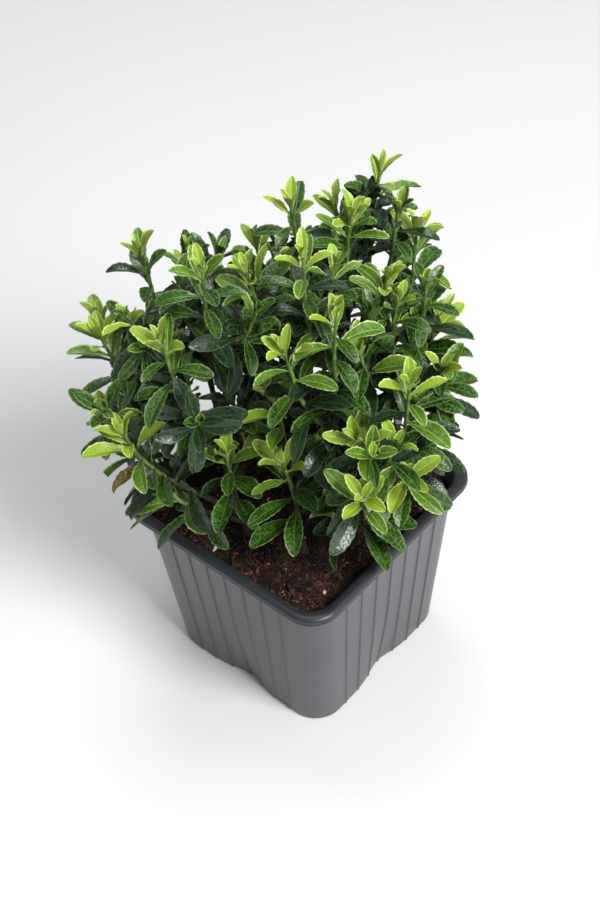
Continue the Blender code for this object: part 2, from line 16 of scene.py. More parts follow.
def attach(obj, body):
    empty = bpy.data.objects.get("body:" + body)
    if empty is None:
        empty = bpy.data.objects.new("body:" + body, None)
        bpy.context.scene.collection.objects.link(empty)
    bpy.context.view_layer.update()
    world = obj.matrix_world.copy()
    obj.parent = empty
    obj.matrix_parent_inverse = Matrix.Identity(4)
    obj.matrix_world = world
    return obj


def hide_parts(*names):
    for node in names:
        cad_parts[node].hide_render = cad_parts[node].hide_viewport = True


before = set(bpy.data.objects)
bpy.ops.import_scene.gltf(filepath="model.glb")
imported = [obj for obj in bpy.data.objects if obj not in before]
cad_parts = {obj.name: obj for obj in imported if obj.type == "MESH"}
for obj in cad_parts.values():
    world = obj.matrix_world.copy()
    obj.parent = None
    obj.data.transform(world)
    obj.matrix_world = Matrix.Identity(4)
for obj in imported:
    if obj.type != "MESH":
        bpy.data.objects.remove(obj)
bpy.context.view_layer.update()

# Pot
RIM_HALF = 0.060
RIM_CORNER = 0.0145
RIM_TOP = 0.100
WALL_TOP_HALF = 0.0551
WALL_FOOT_HALF = 0.0479
WALL_CORNER = 0.0144
WALL_TOP = 0.0950
WALL = 0.0013
INNER_HALF = WALL_TOP_HALF - WALL
BASE = 0.0020
RIBS = 7
RIB_REACH = 0.60
RIB_WIDTH = 0.0012
RIB_HEIGHT = 0.0006
RIB_SECTION = ((-0.5, 0.0), (-0.3, 0.62), (0.0, 1.0), (0.3, 0.62), (0.5, 0.0))
BETWEEN_RIBS = (0.34, 0.67)
PINCH_DEPTH = 0.0034
PINCH_WIDTH = 0.0105
PINCH_TOP = 0.050
PINCH_FADE = 1.4
CORNER_STEPS = 14
WALL_RINGS = 15
DRAIN_RADIUS = 0.0045
DRAIN_OFFSET = 0.027
DRAIN_SIDES = 32
FOOT_ROUNDING = 0.0010
# The foot's section: how far up and how far in, as shares of its rounding
FOOT_SECTION = ((0.0, 1.0), (0.3, 0.3), (1.0, 0.0))
# The rim's section, from under its skirt, over its roll and down its inner lip: how far in from
# its widest line, and how far below its top
RIM_SECTION = (
    (0.0045, 0.0054), (0.0038, 0.0047), (0.0016, 0.0044), (0.0005, 0.0042), (0.0001, 0.0038),
    (0.0000, 0.0034), (0.0002, 0.0030), (0.0003, 0.0024), (0.0001, 0.0018), (0.0003, 0.0011),
    (0.0009, 0.0005), (0.0018, 0.0001), (0.0028, 0.0000), (0.0040, 0.0003), (0.0050, 0.0008),
    (0.0057, 0.0016), (0.0061, 0.0028),
)
# How far the inner wall starts below the lip, and half the height over which the rim's painted
# shade sets in
LIP_DROP = 0.0008
RIM_SHADE_BLEND = 0.001
PLASTIC = (0.072, 0.077, 0.085)
PLASTIC_BLOOM = (0.092, 0.098, 0.107)
# Painted shade: the rim and the top of the inner wall are the walls' plastic, given a darker tone
RIM_PAINTED_SHADE = (0.024, 0.027, 0.032)
PLASTIC_SCUFF = (0.12, 0.125, 0.13)

# Compost
SOIL_TOP = 0.0900
SOIL_DIP = 0.0016
GAP = 0.0003
SOIL_RINGS = 46
SOIL_LEVELS = (BASE + GAP, PINCH_TOP * 0.3, PINCH_TOP * 0.6, PINCH_TOP, SOIL_TOP - SOIL_DIP * 2)
SOIL_DIP_FADE = 4
SOIL_MARGIN = 0.0022
SOIL_CORNER = 0.011
SOIL_RELIEF = 0.0030
# Heaps, lumps and grain: waves per metre and level of the noise, then their shares of the relief
SOIL_WAVES = ((34, 0.7), (130, 3.1), (520, 5.3))
SOIL_SHARES = (0.30, 0.34, 0.16)
# Fall, spread and number of the finer waves in the lumps, and in the bark's ridges
LUMP_DETAIL = (1.0, 2.1, 3)
BARK_DETAIL = (1.0, 2.0, 3)
PEAT_DARK = (0.005, 0.0035, 0.003)
PEAT_BROWN = (0.022, 0.0115, 0.0085)
PEAT_RUST = (0.150, 0.058, 0.036)
# Painted glints: the tone of sparse pale specks on the peat
PEAT_GLINT = (0.42, 0.30, 0.24)
# Loose bits: name, count, least and greatest size, flatness, how much they lie in heaps, dark
# and light tone, and grain
CRUMBS = (
    ("peat_crumbs", 2300, 0.0007, 0.0030, 0.85, 0.0,
     (0.007, 0.0045, 0.004), (0.024, 0.012, 0.009), 520),
    ("brown_crumbs", 1900, 0.0006, 0.0026, 0.80, 0.15,
     (0.016, 0.009, 0.007), (0.064, 0.030, 0.020), 600),
    ("bark_chips", 230, 0.0014, 0.0050, 0.40, 0.0,
     (0.018, 0.010, 0.007), (0.070, 0.036, 0.024), 400),
    ("rust_crumbs", 1300, 0.0005, 0.0024, 0.80, 0.50,
     (0.075, 0.024, 0.012), (0.240, 0.090, 0.052), 600),
    ("pale_crumbs", 260, 0.0005, 0.0014, 0.70, 0.10,
     (0.250, 0.150, 0.110), (0.480, 0.360, 0.290), 500),
    ("perlite", 14, 0.0012, 0.0024, 0.90, 0.0,
     (0.48, 0.46, 0.40), (0.80, 0.78, 0.72), 600),
)
# Where the photograph shows two white grains of perlite
PERLITE_PLACES = ((-0.0122, -0.0459), (0.0434, -0.0348))
# Most crumbs are near their least size, by this power
CRUMB_FADE = 2.4
# A crumb's stretch along, across and up, its dents, its lean, and how far it stands out
CRUMB_STRETCH = ((0.8, 2.4), (0.5, 1.0), (0.5, 1.1))
CRUMB_DENTS = (0.50, 1.30)
CRUMB_LEAN = 0.7
CRUMB_RISE = (0.05, 0.40)
# Heaps: waves per metre, and how far apart those of two kinds of crumb are. A crumb lies where
# the noise is over a level: the slope times how much its kind is heaped, less the start
HEAP_GRAIN = 95
HEAPS_APART = 50
HEAP_SLOPE = 1.4
HEAP_START = 0.6
FIBRES = 120
FIBRE_POINTS = 7
FIBRE_STEPS = (0.0006, 0.0016)
FIBRE_RADII = (0.00007, 0.00014)
FIBRE_BEND = 0.45
FIBRE_LIFT = 0.00035
FIBRE_ARCH = 0.0009
FIBRE_WAVE = 0.9
FIBRE_REACH = 0.052
STRAW = ("straw", (0.11, 0.060, 0.038), (0.27, 0.17, 0.12), 500)

# Stems: name, foot x and y, lean as x and y per metre of height, height, radius
STEMS = (
    ("stem_left", -0.028, -0.010, -0.10, -0.10, 0.038, 0.0031),
    ("stem_back", -0.012, 0.022, -0.05, 0.12, 0.040, 0.0030),
    ("stem_middle", 0.008, 0.000, 0.10, -0.05, 0.036, 0.0027),
    ("stem_right", 0.030, 0.020, 0.16, 0.10, 0.036, 0.0029),
    ("stem_front", -0.007, -0.029, -0.10, -0.15, 0.018, 0.0024),
    ("stem_front_low", 0.020, -0.022, -0.05, 0.00, 0.014, 0.0018),
    ("stem_right_low", 0.036, -0.004, 0.30, -0.10, 0.012, 0.0018),
)
STEM_TAPER = 0.74
FLARE_HEIGHT = 0.006
FLARE = 1.55
LIMB_STEP = 0.0008
BARK_GRAIN = 900
BARK_STRETCH = 0.22
BARK_RELIEF = 0.16
# Bark: name, dark and light tone, and the tone of its cracks
BARKS = (
    ("old_bark", (0.030, 0.028, 0.018), (0.075, 0.070, 0.042), (0.012, 0.010, 0.007)),
    ("woody_twig", (0.028, 0.040, 0.016), (0.065, 0.085, 0.035), (0.014, 0.014, 0.008)),
    ("green_twig", (0.110, 0.210, 0.030), (0.200, 0.340, 0.070), (0.060, 0.120, 0.025)),
)

# Masses of foliage, lowest on each stem first: name, stem, compass angle and distance out
# from the pot's centre line of the leading shoot's tip, its height above the compost, and
# the number of side shoots
MASSES = (
    ("left_low_back", "stem_left", -160, 0.072, 0.070, 2),
    ("left_back", "stem_left", 174, 0.068, 0.100, 2),
    ("left_out", "stem_left", -138, 0.079, 0.111, 2),
    ("left_front", "stem_left", -114, 0.056, 0.126, 2),
    ("left_top", "stem_left", -150, 0.060, 0.144, 2),
    ("left_mid", "stem_left", -110, 0.036, 0.158, 2),
    ("back_low", "stem_back", 150, 0.068, 0.060, 2),
    ("back_out", "stem_back", 112, 0.072, 0.092, 2),
    ("back_left", "stem_back", 146, 0.052, 0.114, 2),
    ("back_right", "stem_back", 84, 0.056, 0.160, 2),
    ("top_right", "stem_back", 69, 0.032, 0.156, 2),
    ("top_back", "stem_back", 122, 0.022, 0.157, 2),
    ("front_right", "stem_middle", -4, 0.060, 0.080, 1),
    ("front_mid", "stem_middle", -73, 0.017, 0.084, 2),
    ("mid", "stem_middle", -15, 0.036, 0.142, 2),
    ("top_mid", "stem_middle", -25, 0.020, 0.162, 2),
    ("right_low", "stem_right", 20, 0.056, 0.078, 2),
    ("right_back", "stem_right", 64, 0.060, 0.140, 2),
    ("right_front", "stem_right", 7, 0.059, 0.105, 2),
    ("right_out", "stem_right", 48, 0.063, 0.106, 2),
    ("right_mid", "stem_right", 32, 0.046, 0.128, 2),
    ("left_corner", "stem_front", -113, 0.064, 0.046, 0),
    ("left_low", "stem_front", -114, 0.078, 0.084, 2),
    ("front_left", "stem_front", -101, 0.038, 0.058, 0),
    ("front", "stem_front_low", -58, 0.033, 0.062, 0),
    ("low_right", "stem_right_low", -11, 0.052, 0.044, 0),
)

# The photograph's view, from above the pot's front corner
VIEW_TARGET = (0.002, 0.0, 0.1259)
VIEW_ELEVATION = 46.69
VIEW_AZIMUTH = 42.85
VIEW_ROLL = -3.80
VIEW_AWAY = 0.723
VIEW_LENS = 64.0
VIEW_FILM = 36.0
VIEW_NEAR = 0.01

# Stage lights: name, compass angle and elevation, distance, width, power and tone
LIGHTS = (
    ("key", -5, 52, 1.5, 0.60, 20.3, (1.0, 0.99, 0.97)),
    ("overhead", 140, 74, 1.6, 0.60, 8.2, (0.96, 0.98, 1.0)),
    ("right", 0, 24, 1.6, 0.90, 6.0, (1.0, 1.0, 1.0)),
)
LIGHT_TARGET = Vector((0, 0, 0.1))
AMBIENT_TONE = (0.97, 0.98, 1.0, 1)
AMBIENT = 0.35
FLOOR_SIZE = 4.0
FLOOR_DROP = 0.0002
FLOOR_DARK = (0.770, 0.770, 0.770)
FLOOR_LIGHT = (0.800, 0.800, 0.800)

# Gaps in the crown that the photograph shows, each open along its line of sight: compass angle
# and distance out, height above the compost, and the gap's half width
GAPS = (
    (-145, 0.050, 0.139, 0.0045),
    (-139, 0.071, 0.137, 0.0060),
    (-137, 0.062, 0.132, 0.0045),
    (-123, 0.087, 0.113, 0.0045),
    (-122, 0.039, 0.089, 0.0050),
    (52, 0.040, 0.137, 0.0035),
    (30, 0.027, 0.122, 0.0030),
)

# Limbs and shoots
BOUGH_RADIUS = 0.0017
BOUGH_TIP_RADIUS = 0.0012
BOUGH_LEAVES_LOW = 0.34
BOUGH_FROM = 0.075
MASS_LENGTH = 0.094
MASS_SHARE = 0.74
BOUGH_LEANS = (48, 58, 68, 38)
BOUGH_TWISTS = (0, 20, -20, 40, -40)
BOUGH_SHARE = 0.7
BOUGH_GAP = 0.0009
TIP_LEAN = 12
SIDE_SPREAD = 0.023
SIDE_SPREADS = (0.8, 1.15)
SIDE_TURN = 110
SIDE_TURN_VARIES = 30
SIDE_LEAVES_LOW = 0.16
SIDE_LEAVES_STEP = 0.17
SIDE_LEAVES_VARIES = 0.4
SIDE_TRIES = 12
SIDE_DROP = 0.012
SIDE_DROPS = (0.5, 1.6)
SIDE_DROP_STEP = 0.7
SIDE_LEAN = 46
TWIG_STEP = 0.013
PATH_STEP = 0.0015
PATH_STEPS_LEAST = 8
PATH_BEND = 0.38
CLEAR_STEP = 0.00005
CLEAR_RING = 8
TWIG_CLEAR = 0.0045
WELD = 0.000005

# Finer shoots, between the ones that the solids have
FINE_SHOOTS = 2
FINE_TRIES = 14
FINE_CLEAR = 0.0030
FINE_LENGTHS = (0.014, 0.030)
FINE_FROM = (0.15, 0.72)
FINE_LEAN = (30, 62)
FINE_LEAVE_LEAN = 80
# A fine shoot's first points lie on the shoot that carries it
FINE_POINTS_ON = 4
TWIG_RADIUS = 0.00125
TWIG_TIP_RADIUS = 0.00065
TWIG_MESH_STEP = 0.0010
NODE_SWELL = 0.30
NODE_WIDTH = 0.0007
GREEN_FROM = 0.45
GREEN_OVERLAP = 0.01

# Leaves
NODE_STEP = 0.003
NODE_STEP_GROWS = 0.001
NODE_STEP_MOST = 0.010
# The pairs of leaves are closer together on the low shoots
NODE_STEP_LOW = 0.0035
NODE_STEP_RISES = 0.065
NODE_FREE = 0.005
PAIR_TURN = 90
SHOOT_TURN = 40
LEAF_LENGTHS = (0.0112, 0.0158, 0.0182, 0.0204, 0.0225, 0.0245, 0.0255, 0.0255, 0.0245, 0.0235)
LEAF_ANGLES = (16, 25, 38, 52, 62, 68, 74, 78, 82, 84)
LEAF_SIZES = (0.88, 1.10)
# Leaves are larger on the low shoots: their growth at the compost, and how it falls with height
GROWTH_LOW = 1.26
GROWTH_FALLS = 2.2
LEAF_ANGLE_VARIES = 9
LEAF_ANGLE_LEAST = 8
LEAF_TURN_VARIES = 14
LEAF_WIDTH = 0.40
LEAF_OUTLINE = ((0.25, 0.6), (0.5, 1.0), (0.75, 0.7), (1.0, 0.0))
LEAF_ARCH = 0.05
LEAF_DROOP = 0.07
SPACE_MARGIN = -0.0050
LIMB_CLEAR = 0.0012
RIM_CLEAR = 0.0016
LEAF_TRIES = (
    (0, 0, 1.0), (18, 0, 1.0), (-18, 0, 1.0), (0, 16, 1.0), (30, 8, 0.95), (-30, 8, 0.95),
    (0, 30, 0.85), (45, 16, 0.8), (-45, 16, 0.8), (0, 40, 0.7), (0, 20, 0.6), (30, 30, 0.55),
)
# A leaf's half width at its stations, as a share of its greatest
BLADE_STATIONS = (
    (0.00, 0.12), (0.11, 0.14), (0.24, 0.42), (0.37, 0.70), (0.50, 0.90),
    (0.63, 1.00), (0.77, 0.93), (0.90, 0.65), (1.00, 0.18),
)
# Least and greatest width as a share of the length, of a new leaf and of a full-grown one
YOUNG_WIDTHS = (0.27, 0.35)
GROWN_WIDTHS = (0.27, 0.33)
# A withered leaf, and one that has lost its tip: mass, shoot, pair and side
WITHERED_LEAF = ("left_low", 0, 5, 0)
CLIPPED_LEAF = ("left_low", 1, 5, 0)
CLIPPED_AT = 0.70
# How many pairs of new leaves a shoot may have: a mass's leader, its next two shoots, the rest
FRESH_PAIRS = ((2, 3, 3, 4), (1, 2, 3, 3), (0, 1, 2, 3), (-3, -2, -1, 1))
# How a leaf lies: how steeply it folds, arches, rises and twists, the height, number and start
# of its waves, and how far its edge curls
LEAF_HABIT = {
    "fold": (0.22, 0.55), "arch": (0.45, 1.15), "raise": (0.02, 0.20), "twist": (-0.35, 0.35),
    "wave": (0.0, 0.0006), "waves": (7, 13), "phase": (0, math.tau), "curl": (-0.04, 0.06),
}
YOUNG_PAIRS = 4
YOUNG_FOLD = 0.25
YOUNG_STRAIGHT = 0.6
ARCH_FADE = 1.25
TOOTH = 0.085
TOOTH_LEAST = 0.00012
MARGIN = 0.00032
EDGE_LEAST = 0.72
RIB_HALF = 0.00026
RIB_FADE = 1.25
RIB_SINK = 0.6
PUCKER = 0.00013
UNDERSIDE_DROP = 0.00012
UNDERSIDE_SHARE = 0.90
# The finishes of the strips across a leaf's upper side: 0 blade, 1 edge and 2 rib
STRIPS = (1, 0, 2, 0, 1)
UNDERSIDE = 3
# Lines of points along a leaf, counted out from its middle
RIB_LINE = 1
EDGE_LINE = 3
OUTER_LINE = 5
# The rib's tone has this share of the light one, and the underside is dulled and then lifted
RIB_LIGHT = 0.4
UNDERSIDE_DULL = 0.7
UNDERSIDE_LIFT = 0.03
# Kinds of leaf: dark, light and edge tone, roughness, mottling and shine
LEAF_KINDS = {
    "lime": ((0.215, 0.350, 0.018), (0.355, 0.505, 0.040), (0.58, 0.73, 0.22), 0.26, 0.30, 0.50),
    "fresh": ((0.054, 0.138, 0.009), (0.156, 0.296, 0.018), (0.42, 0.56, 0.19), 0.21, 0.60, 0.48),
    "green": ((0.007, 0.029, 0.005), (0.059, 0.160, 0.006), (0.15, 0.235, 0.075), 0.15, 0.80, 0.54),
    # The darkest kind: the older leaves' deeper green, made near-black as painted shade inside the
    # crown
    "deep": ((0.006, 0.019, 0.008), (0.018, 0.056, 0.010), (0.055, 0.090, 0.040), 0.13, 0.70, 0.46),
    "withered": ((0.110, 0.042, 0.012), (0.42, 0.40, 0.08), (0.16, 0.08, 0.03), 0.45, 0.55, 0.30),
}

# Masks in the finishes: the noise's waves per metre (an earth has its own) and detail, the levels
# where the mask starts and is full, and how the scuffs are stretched
BLOOM_MASK = (28, 5, 0.40, 0.72)
SCUFF_MASK = (120, 6, 0.60, 0.74, (1, 1, 9))
EARTH_MASK = (6, 0.38, 0.62)
HEAP_MASK = (105, 3, 0.46, 0.60)
GLINT_MASK = (2300, 2, 0.70, 0.74)
BARK_MASK = (160, 4, 0.36, 0.66)
SPECKLE_MASK = (950, 3, 0.49, 0.58)
BROAD_MASK = (95, 3, 0.34, 0.66)
# Such levels alone, for masks made from a finish's grain
PEAT_LEVELS = (0.42, 0.60)
RUST_LEVELS = (0.50, 0.62)
CRACK_LEVELS = (0.60, 0.42)
PLAIN_LEVELS = (0.35, 0.65)
# How strongly a mask's tone shows
SCUFF_SHARE = 0.25
RUST_SHARE = 0.8
CRACK_SHARE = 0.7
BROAD_SHARE = 0.35
PLAIN_DARKER = 0.82
# Grain in the finishes: the noise's waves per metre and detail, and how the bark is stretched
PLASTIC_GRAIN = (2400, 2)
PLASTIC_DENTS = (300, 3)
PEAT_GRAIN = (1500, 4)
PEAT_LUMPS = (460, 5)
BARK_RIDGES = (900, 5, (1, 1, 0.16))
LEAF_GRAIN = (700, 3)
LEAF_WAX = (260, 4)
FLOOR_CLOUDS = (3.0, 2)
# An earth's grain has this many times the waves of its mask
EARTH_FINER = 6
# How rough a finish is, and how much its grain changes that, or that change alone
PLASTIC_ROUGH = (0.30, 0.08)
EARTH_ROUGH = (0.92, 0.22)
PEAT_ROUGH = (0.95, 0.35)
BARK_ROUGH = (0.62, 0.25)
WAX_ROUGH = 0.16
PLAIN_ROUGH = 0.10

UP = Vector((0, 0, 1))
FOLIAGE = ["foliage_" + row[0] for row in MASSES]


# Pieces

def dress(piece, body_slot, *nodes):
    """Sets a finished piece on the body in place of the nodes it stands for; the body slot is not
    used.
    """
    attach(piece, "root")
    if nodes:
        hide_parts(*nodes)


def placed(name, data):
    item = bpy.data.objects.new(name, data)
    bpy.context.scene.collection.objects.link(item)
    return item


def piece_of(name, mesh, materials, smooth_angle=None):
    mesh.name = name
    for material in materials:
        mesh.materials.append(material)
    if smooth_angle is not None:
        mesh.shade_smooth()
        mesh.set_sharp_from_angle(angle=math.radians(smooth_angle))
    return placed(name, mesh)


def mesh_from(shape):
    mesh = bpy.data.meshes.new("shape")
    shape.to_mesh(mesh)
    shape.free()
    return mesh


def evaluated(item):
    """The mesh that an object makes, with its modifiers."""
    graph = bpy.context.evaluated_depsgraph_get()
    return bpy.data.meshes.new_from_object(item.evaluated_get(graph))


def tubes(paths, radii, rounding):
    """One mesh with a closed tapering tube along each path, its caps welded."""
    curve = bpy.data.curves.new("tubes", "CURVE")
    curve.dimensions = "3D"
    curve.bevel_depth = 1.0
    curve.bevel_resolution = rounding
    curve.use_fill_caps = True
    for path, widths in zip(paths, radii):
        spline = curve.splines.new("POLY")
        spline.points.add(len(path) - 1)
        for corner, place, width in zip(spline.points, path, widths):
            corner.co = (*place, 1)
            corner.radius = width
    holder = placed("tubes", curve)
    mesh = evaluated(holder)
    bpy.data.objects.remove(holder, do_unlink=True)
    bpy.data.curves.remove(curve)
    shape = bmesh.new()
    shape.from_mesh(mesh)
    bmesh.ops.remove_doubles(shape, verts=shape.verts, dist=WELD)
    bmesh.ops.recalc_face_normals(shape, faces=shape.faces)
    shape.to_mesh(mesh)
    shape.free()
    return mesh


def stamped(template, places):
    """One mesh with the template's faces repeated at each of many sets of vertex places."""
    count, corners = places.shape[:2]
    faces = [[vert.index for vert in face.verts] for face in template.faces]
    slots = [face.material_index for face in template.faces]
    repeats = [[corner + copy * corners for corner in face]
               for copy in range(count) for face in faces]
    mesh = bpy.data.meshes.new("stamped")
    mesh.from_pydata(places.reshape(-1, 3), [], repeats)
    mesh.polygons.foreach_set("material_index", slots * count)
    return mesh


# Finishes

class Value:
    """A number that changes over a surface, for use in plain sums."""

    def __init__(self, finish, socket):
        self.finish = finish
        self.socket = socket

    def sum_of(self, operation, first, second):
        return self.finish.node("ShaderNodeMath", {0: first, 1: second}, operation=operation)

    def __add__(self, other):
        return self.sum_of("ADD", self, other)

    __radd__ = __add__

    def __sub__(self, other):
        return self.sum_of("SUBTRACT", self, other)

    def __rsub__(self, other):
        return self.sum_of("SUBTRACT", other, self)

    def __mul__(self, other):
        return self.sum_of("MULTIPLY", self, other)

    __rmul__ = __mul__


class Finish:
    """A material made from a Principled shader and what feeds it."""

    def __init__(self, name, **plain):
        self.material = bpy.data.materials.new(name)
        self.material.use_nodes = True
        self.tree = self.material.node_tree
        self.shader = self.tree.nodes["Principled BSDF"]
        for socket, value in plain.items():
            self.shader.inputs[socket.replace("_", " ")].default_value = value

    def node(self, kind, inputs, output=0, **settings):
        made = self.tree.nodes.new(kind)
        for key, value in settings.items():
            setattr(made, key, value)
        for key, value in inputs.items():
            self.feed(made.inputs[key], value)
        return Value(self, made.outputs[output])

    def feed(self, socket, value):
        if isinstance(value, Value):
            self.tree.links.new(value.socket, socket)
        else:
            socket.default_value = value

    def place(self):
        return self.node("ShaderNodeTexCoord", {}, "Object")

    def noise(self, scale, detail=3.0, stretch=(1, 1, 1)):
        at = self.place()
        if stretch != (1, 1, 1):
            at = self.node("ShaderNodeMapping", {"Vector": at, "Scale": stretch})
        return self.node("ShaderNodeTexNoise", {"Vector": at, "Scale": scale, "Detail": detail})

    def between(self, value, low, high):
        """0 where the value is under low, 1 where it is over high."""
        return self.node("ShaderNodeMapRange", {"Value": value, "From Min": low, "From Max": high},
                         interpolation_type="SMOOTHSTEP")

    def mask(self, scale, detail, low, high, stretch=(1, 1, 1)):
        return self.between(self.noise(scale, detail, stretch), low, high)

    def mix(self, share, first, second):
        tones = [tone if isinstance(tone, Value) else (*tone, 1) for tone in (first, second)]
        return self.node("ShaderNodeMix", {"Factor": share, 6: tones[0], 7: tones[1]}, 2,
                         data_type="RGBA")

    def bump(self, height, strength, distance):
        normal = self.node("ShaderNodeBump",
                           {"Height": height, "Strength": strength, "Distance": distance})
        self.feed(self.shader.inputs["Normal"], normal)

    def base(self, share, first, second):
        self.feed(self.shader.inputs["Base Color"], self.mix(share, first, second))

    def roughness(self, value):
        self.feed(self.shader.inputs["Roughness"], value)


def pot_plastic():
    """Satin dark grey moulded plastic, with a faint dusty bloom and fine scuffs, and painted shade
    darkening its rim.
    """
    finish = Finish("pot_plastic", Specular_IOR_Level=0.45)
    bloom = finish.mask(*BLOOM_MASK)
    height = finish.node("ShaderNodeSeparateXYZ", {0: finish.place()}, 2)
    # Painted shade: everything above the wall's top is darkened towards the rim's tone
    rim_shade = finish.between(height, WALL_TOP - RIM_SHADE_BLEND, WALL_TOP + RIM_SHADE_BLEND)
    grain = finish.noise(*PLASTIC_GRAIN)
    scuffs = finish.mask(*SCUFF_MASK)
    tone = finish.mix(bloom, PLASTIC, PLASTIC_BLOOM)
    tone = finish.mix(rim_shade, tone, RIM_PAINTED_SHADE)
    finish.base(scuffs * SCUFF_SHARE, tone, PLASTIC_SCUFF)
    rough, varies = PLASTIC_ROUGH
    finish.roughness(rough + bloom * varies + grain * varies)
    finish.bump(grain + finish.noise(*PLASTIC_DENTS) * 0.8, strength=0.22, distance=0.0002)
    return finish.material


def earth(name, dark, light, scale):
    """Moist peat, bark or another crumbly stuff, mottled between two tones."""
    finish = Finish(name, Specular_IOR_Level=0.28)
    patch = finish.mask(scale, *EARTH_MASK)
    grain = finish.noise(scale * EARTH_FINER, detail=4)
    finish.base(patch, dark, light)
    rough, varies = EARTH_ROUGH
    finish.roughness(rough - grain * varies)
    finish.bump(grain, strength=0.8, distance=0.0005)
    return finish.material


def compost_finish():
    """Peat in near-black and brown crumbs, with rusty heaps and pale specks painted as glints."""
    finish = Finish("compost", Specular_IOR_Level=0.25)
    fine = finish.noise(*PEAT_GRAIN)
    middling = finish.noise(*PEAT_LUMPS)
    heaps = finish.mask(*HEAP_MASK)
    tone = finish.mix(finish.between(middling, *PEAT_LEVELS), PEAT_DARK, PEAT_BROWN)
    rusty = heaps * finish.between(fine, *RUST_LEVELS)
    tone = finish.mix(rusty * RUST_SHARE, tone, PEAT_RUST)
    # Painted glints: sparse pale specks over the peat's tones
    finish.base(finish.mask(*GLINT_MASK), tone, PEAT_GLINT)
    rough, varies = PEAT_ROUGH
    finish.roughness(rough - fine * varies)
    finish.bump(fine * 0.5 + middling, strength=1.0, distance=0.0016)
    return finish.material


def bark_finish(name, dark, light, crack):
    """Young bark: fine lengthwise ridges, darker in the cracks."""
    finish = Finish(name, Specular_IOR_Level=0.30)
    ridges = finish.noise(*BARK_RIDGES)
    patch = finish.mask(*BARK_MASK)
    cracks = finish.between(ridges, *CRACK_LEVELS)
    finish.base(cracks * CRACK_SHARE, finish.mix(patch, dark, light), crack)
    rough, varies = BARK_ROUGH
    finish.roughness(rough + ridges * varies)
    finish.bump(ridges, strength=0.7, distance=0.0004)
    return finish.material


def blade_finish(name, dark, light, gloss, mottle, shine):
    """A leaf's upper side: mottled between two greens, with a puckered, waxy gloss."""
    finish = Finish(name, Specular_IOR_Level=shine)
    speckle = finish.mask(*SPECKLE_MASK)
    broad = finish.mask(*BROAD_MASK)
    tone = finish.mix(broad * BROAD_SHARE, dark, light)
    finish.base(speckle * mottle, tone, light)
    finish.roughness(gloss + finish.noise(*LEAF_WAX) * WAX_ROUGH)
    finish.bump(finish.noise(*LEAF_GRAIN) + speckle * 0.35, strength=0.5, distance=0.0004)
    return finish.material


def plain_leaf(name, colour, rough):
    """A leaf's edge, rib or underside, in one tone with a little grain."""
    finish = Finish(name, Specular_IOR_Level=0.40)
    grain = finish.noise(*LEAF_GRAIN)
    darker = tuple(part * PLAIN_DARKER for part in colour)
    finish.base(finish.between(grain, *PLAIN_LEVELS), darker, colour)
    finish.roughness(rough + grain * PLAIN_ROUGH)
    return finish.material


# Pot

def wall_half(height):
    return WALL_FOOT_HALF + (WALL_TOP_HALF - WALL_FOOT_HALF) * height / WALL_TOP


def side_points():
    """Places along one side of the pot as a share of its half width, or off a rib's middle."""
    middle = (RIBS - 1) / 2
    points = []
    for number in range(RIBS):
        share = RIB_REACH * (number - middle) / middle
        points += [(share, across, lift) for across, lift in RIB_SECTION]
        if number < RIBS - 1:
            points += [(share + RIB_REACH / middle * step, 0.0, 0.0) for step in BETWEEN_RIBS]
    return points


def pot_ring(height, half, corner, ribbed=0.0):
    """One level of the pot: its height, and points round it, always the same number."""
    pinch = PINCH_DEPTH * max(0.0, 1 - height / PINCH_TOP) ** PINCH_FADE
    side = []
    for share, across, lift in side_points():
        place = share * half + across * RIB_WIDTH
        inward = pinch * math.exp(-(place / PINCH_WIDTH) ** 2)
        side.append(Vector((half - inward + lift * RIB_HEIGHT * ribbed, place)))
    centre = half - corner
    for step in range(CORNER_STEPS + 1):
        angle = math.radians(90 * step / CORNER_STEPS)
        side.append(Vector((centre + corner * math.cos(angle), centre + corner * math.sin(angle))))
    turns = [Matrix.Rotation(math.radians(90 * quarter), 2) for quarter in range(4)]
    return height, [turn @ point for turn in turns for point in side]


def loft(levels):
    """A closed skin through rings of points, each with its height."""
    shape = bmesh.new()
    rings = []
    for height, points in levels:
        corners = [shape.verts.new((point.x, point.y, height)) for point in points]
        after = corners[1:] + corners[:1]
        rings.append([shape.edges.new(pair) for pair in zip(corners, after)])
    for low, high in zip(rings, rings[1:]):
        bmesh.ops.bridge_loops(shape, edges=low + high)
    for end in (rings[0], rings[-1]):
        bmesh.ops.contextual_create(shape, geom=end)
    bmesh.ops.recalc_face_normals(shape, faces=shape.faces)
    return shape


def pot_levels():
    levels = []
    for rise, inset in FOOT_SECTION:
        height = FOOT_ROUNDING * rise
        half = wall_half(height) - FOOT_ROUNDING * inset
        levels.append(pot_ring(height, half, WALL_CORNER, rise))
    foot = RIM_TOP - RIM_SECTION[0][1]
    for step in range(1, WALL_RINGS + 1):
        height = FOOT_ROUNDING + (foot - 2 * FOOT_ROUNDING) * step / WALL_RINGS
        levels.append(pot_ring(height, wall_half(height), WALL_CORNER, ribbed=1.0))
    for inset, drop in RIM_SECTION:
        levels.append(pot_ring(RIM_TOP - drop, RIM_HALF - inset, RIM_CORNER - inset / 2))
    lip = levels[-1][0]
    for step in range(WALL_RINGS + 1):
        height = lip + (BASE - lip) * step / WALL_RINGS - (LIP_DROP if step == 0 else 0.0)
        levels.append(pot_ring(height, wall_half(height) - WALL, WALL_CORNER - WALL))
    return levels


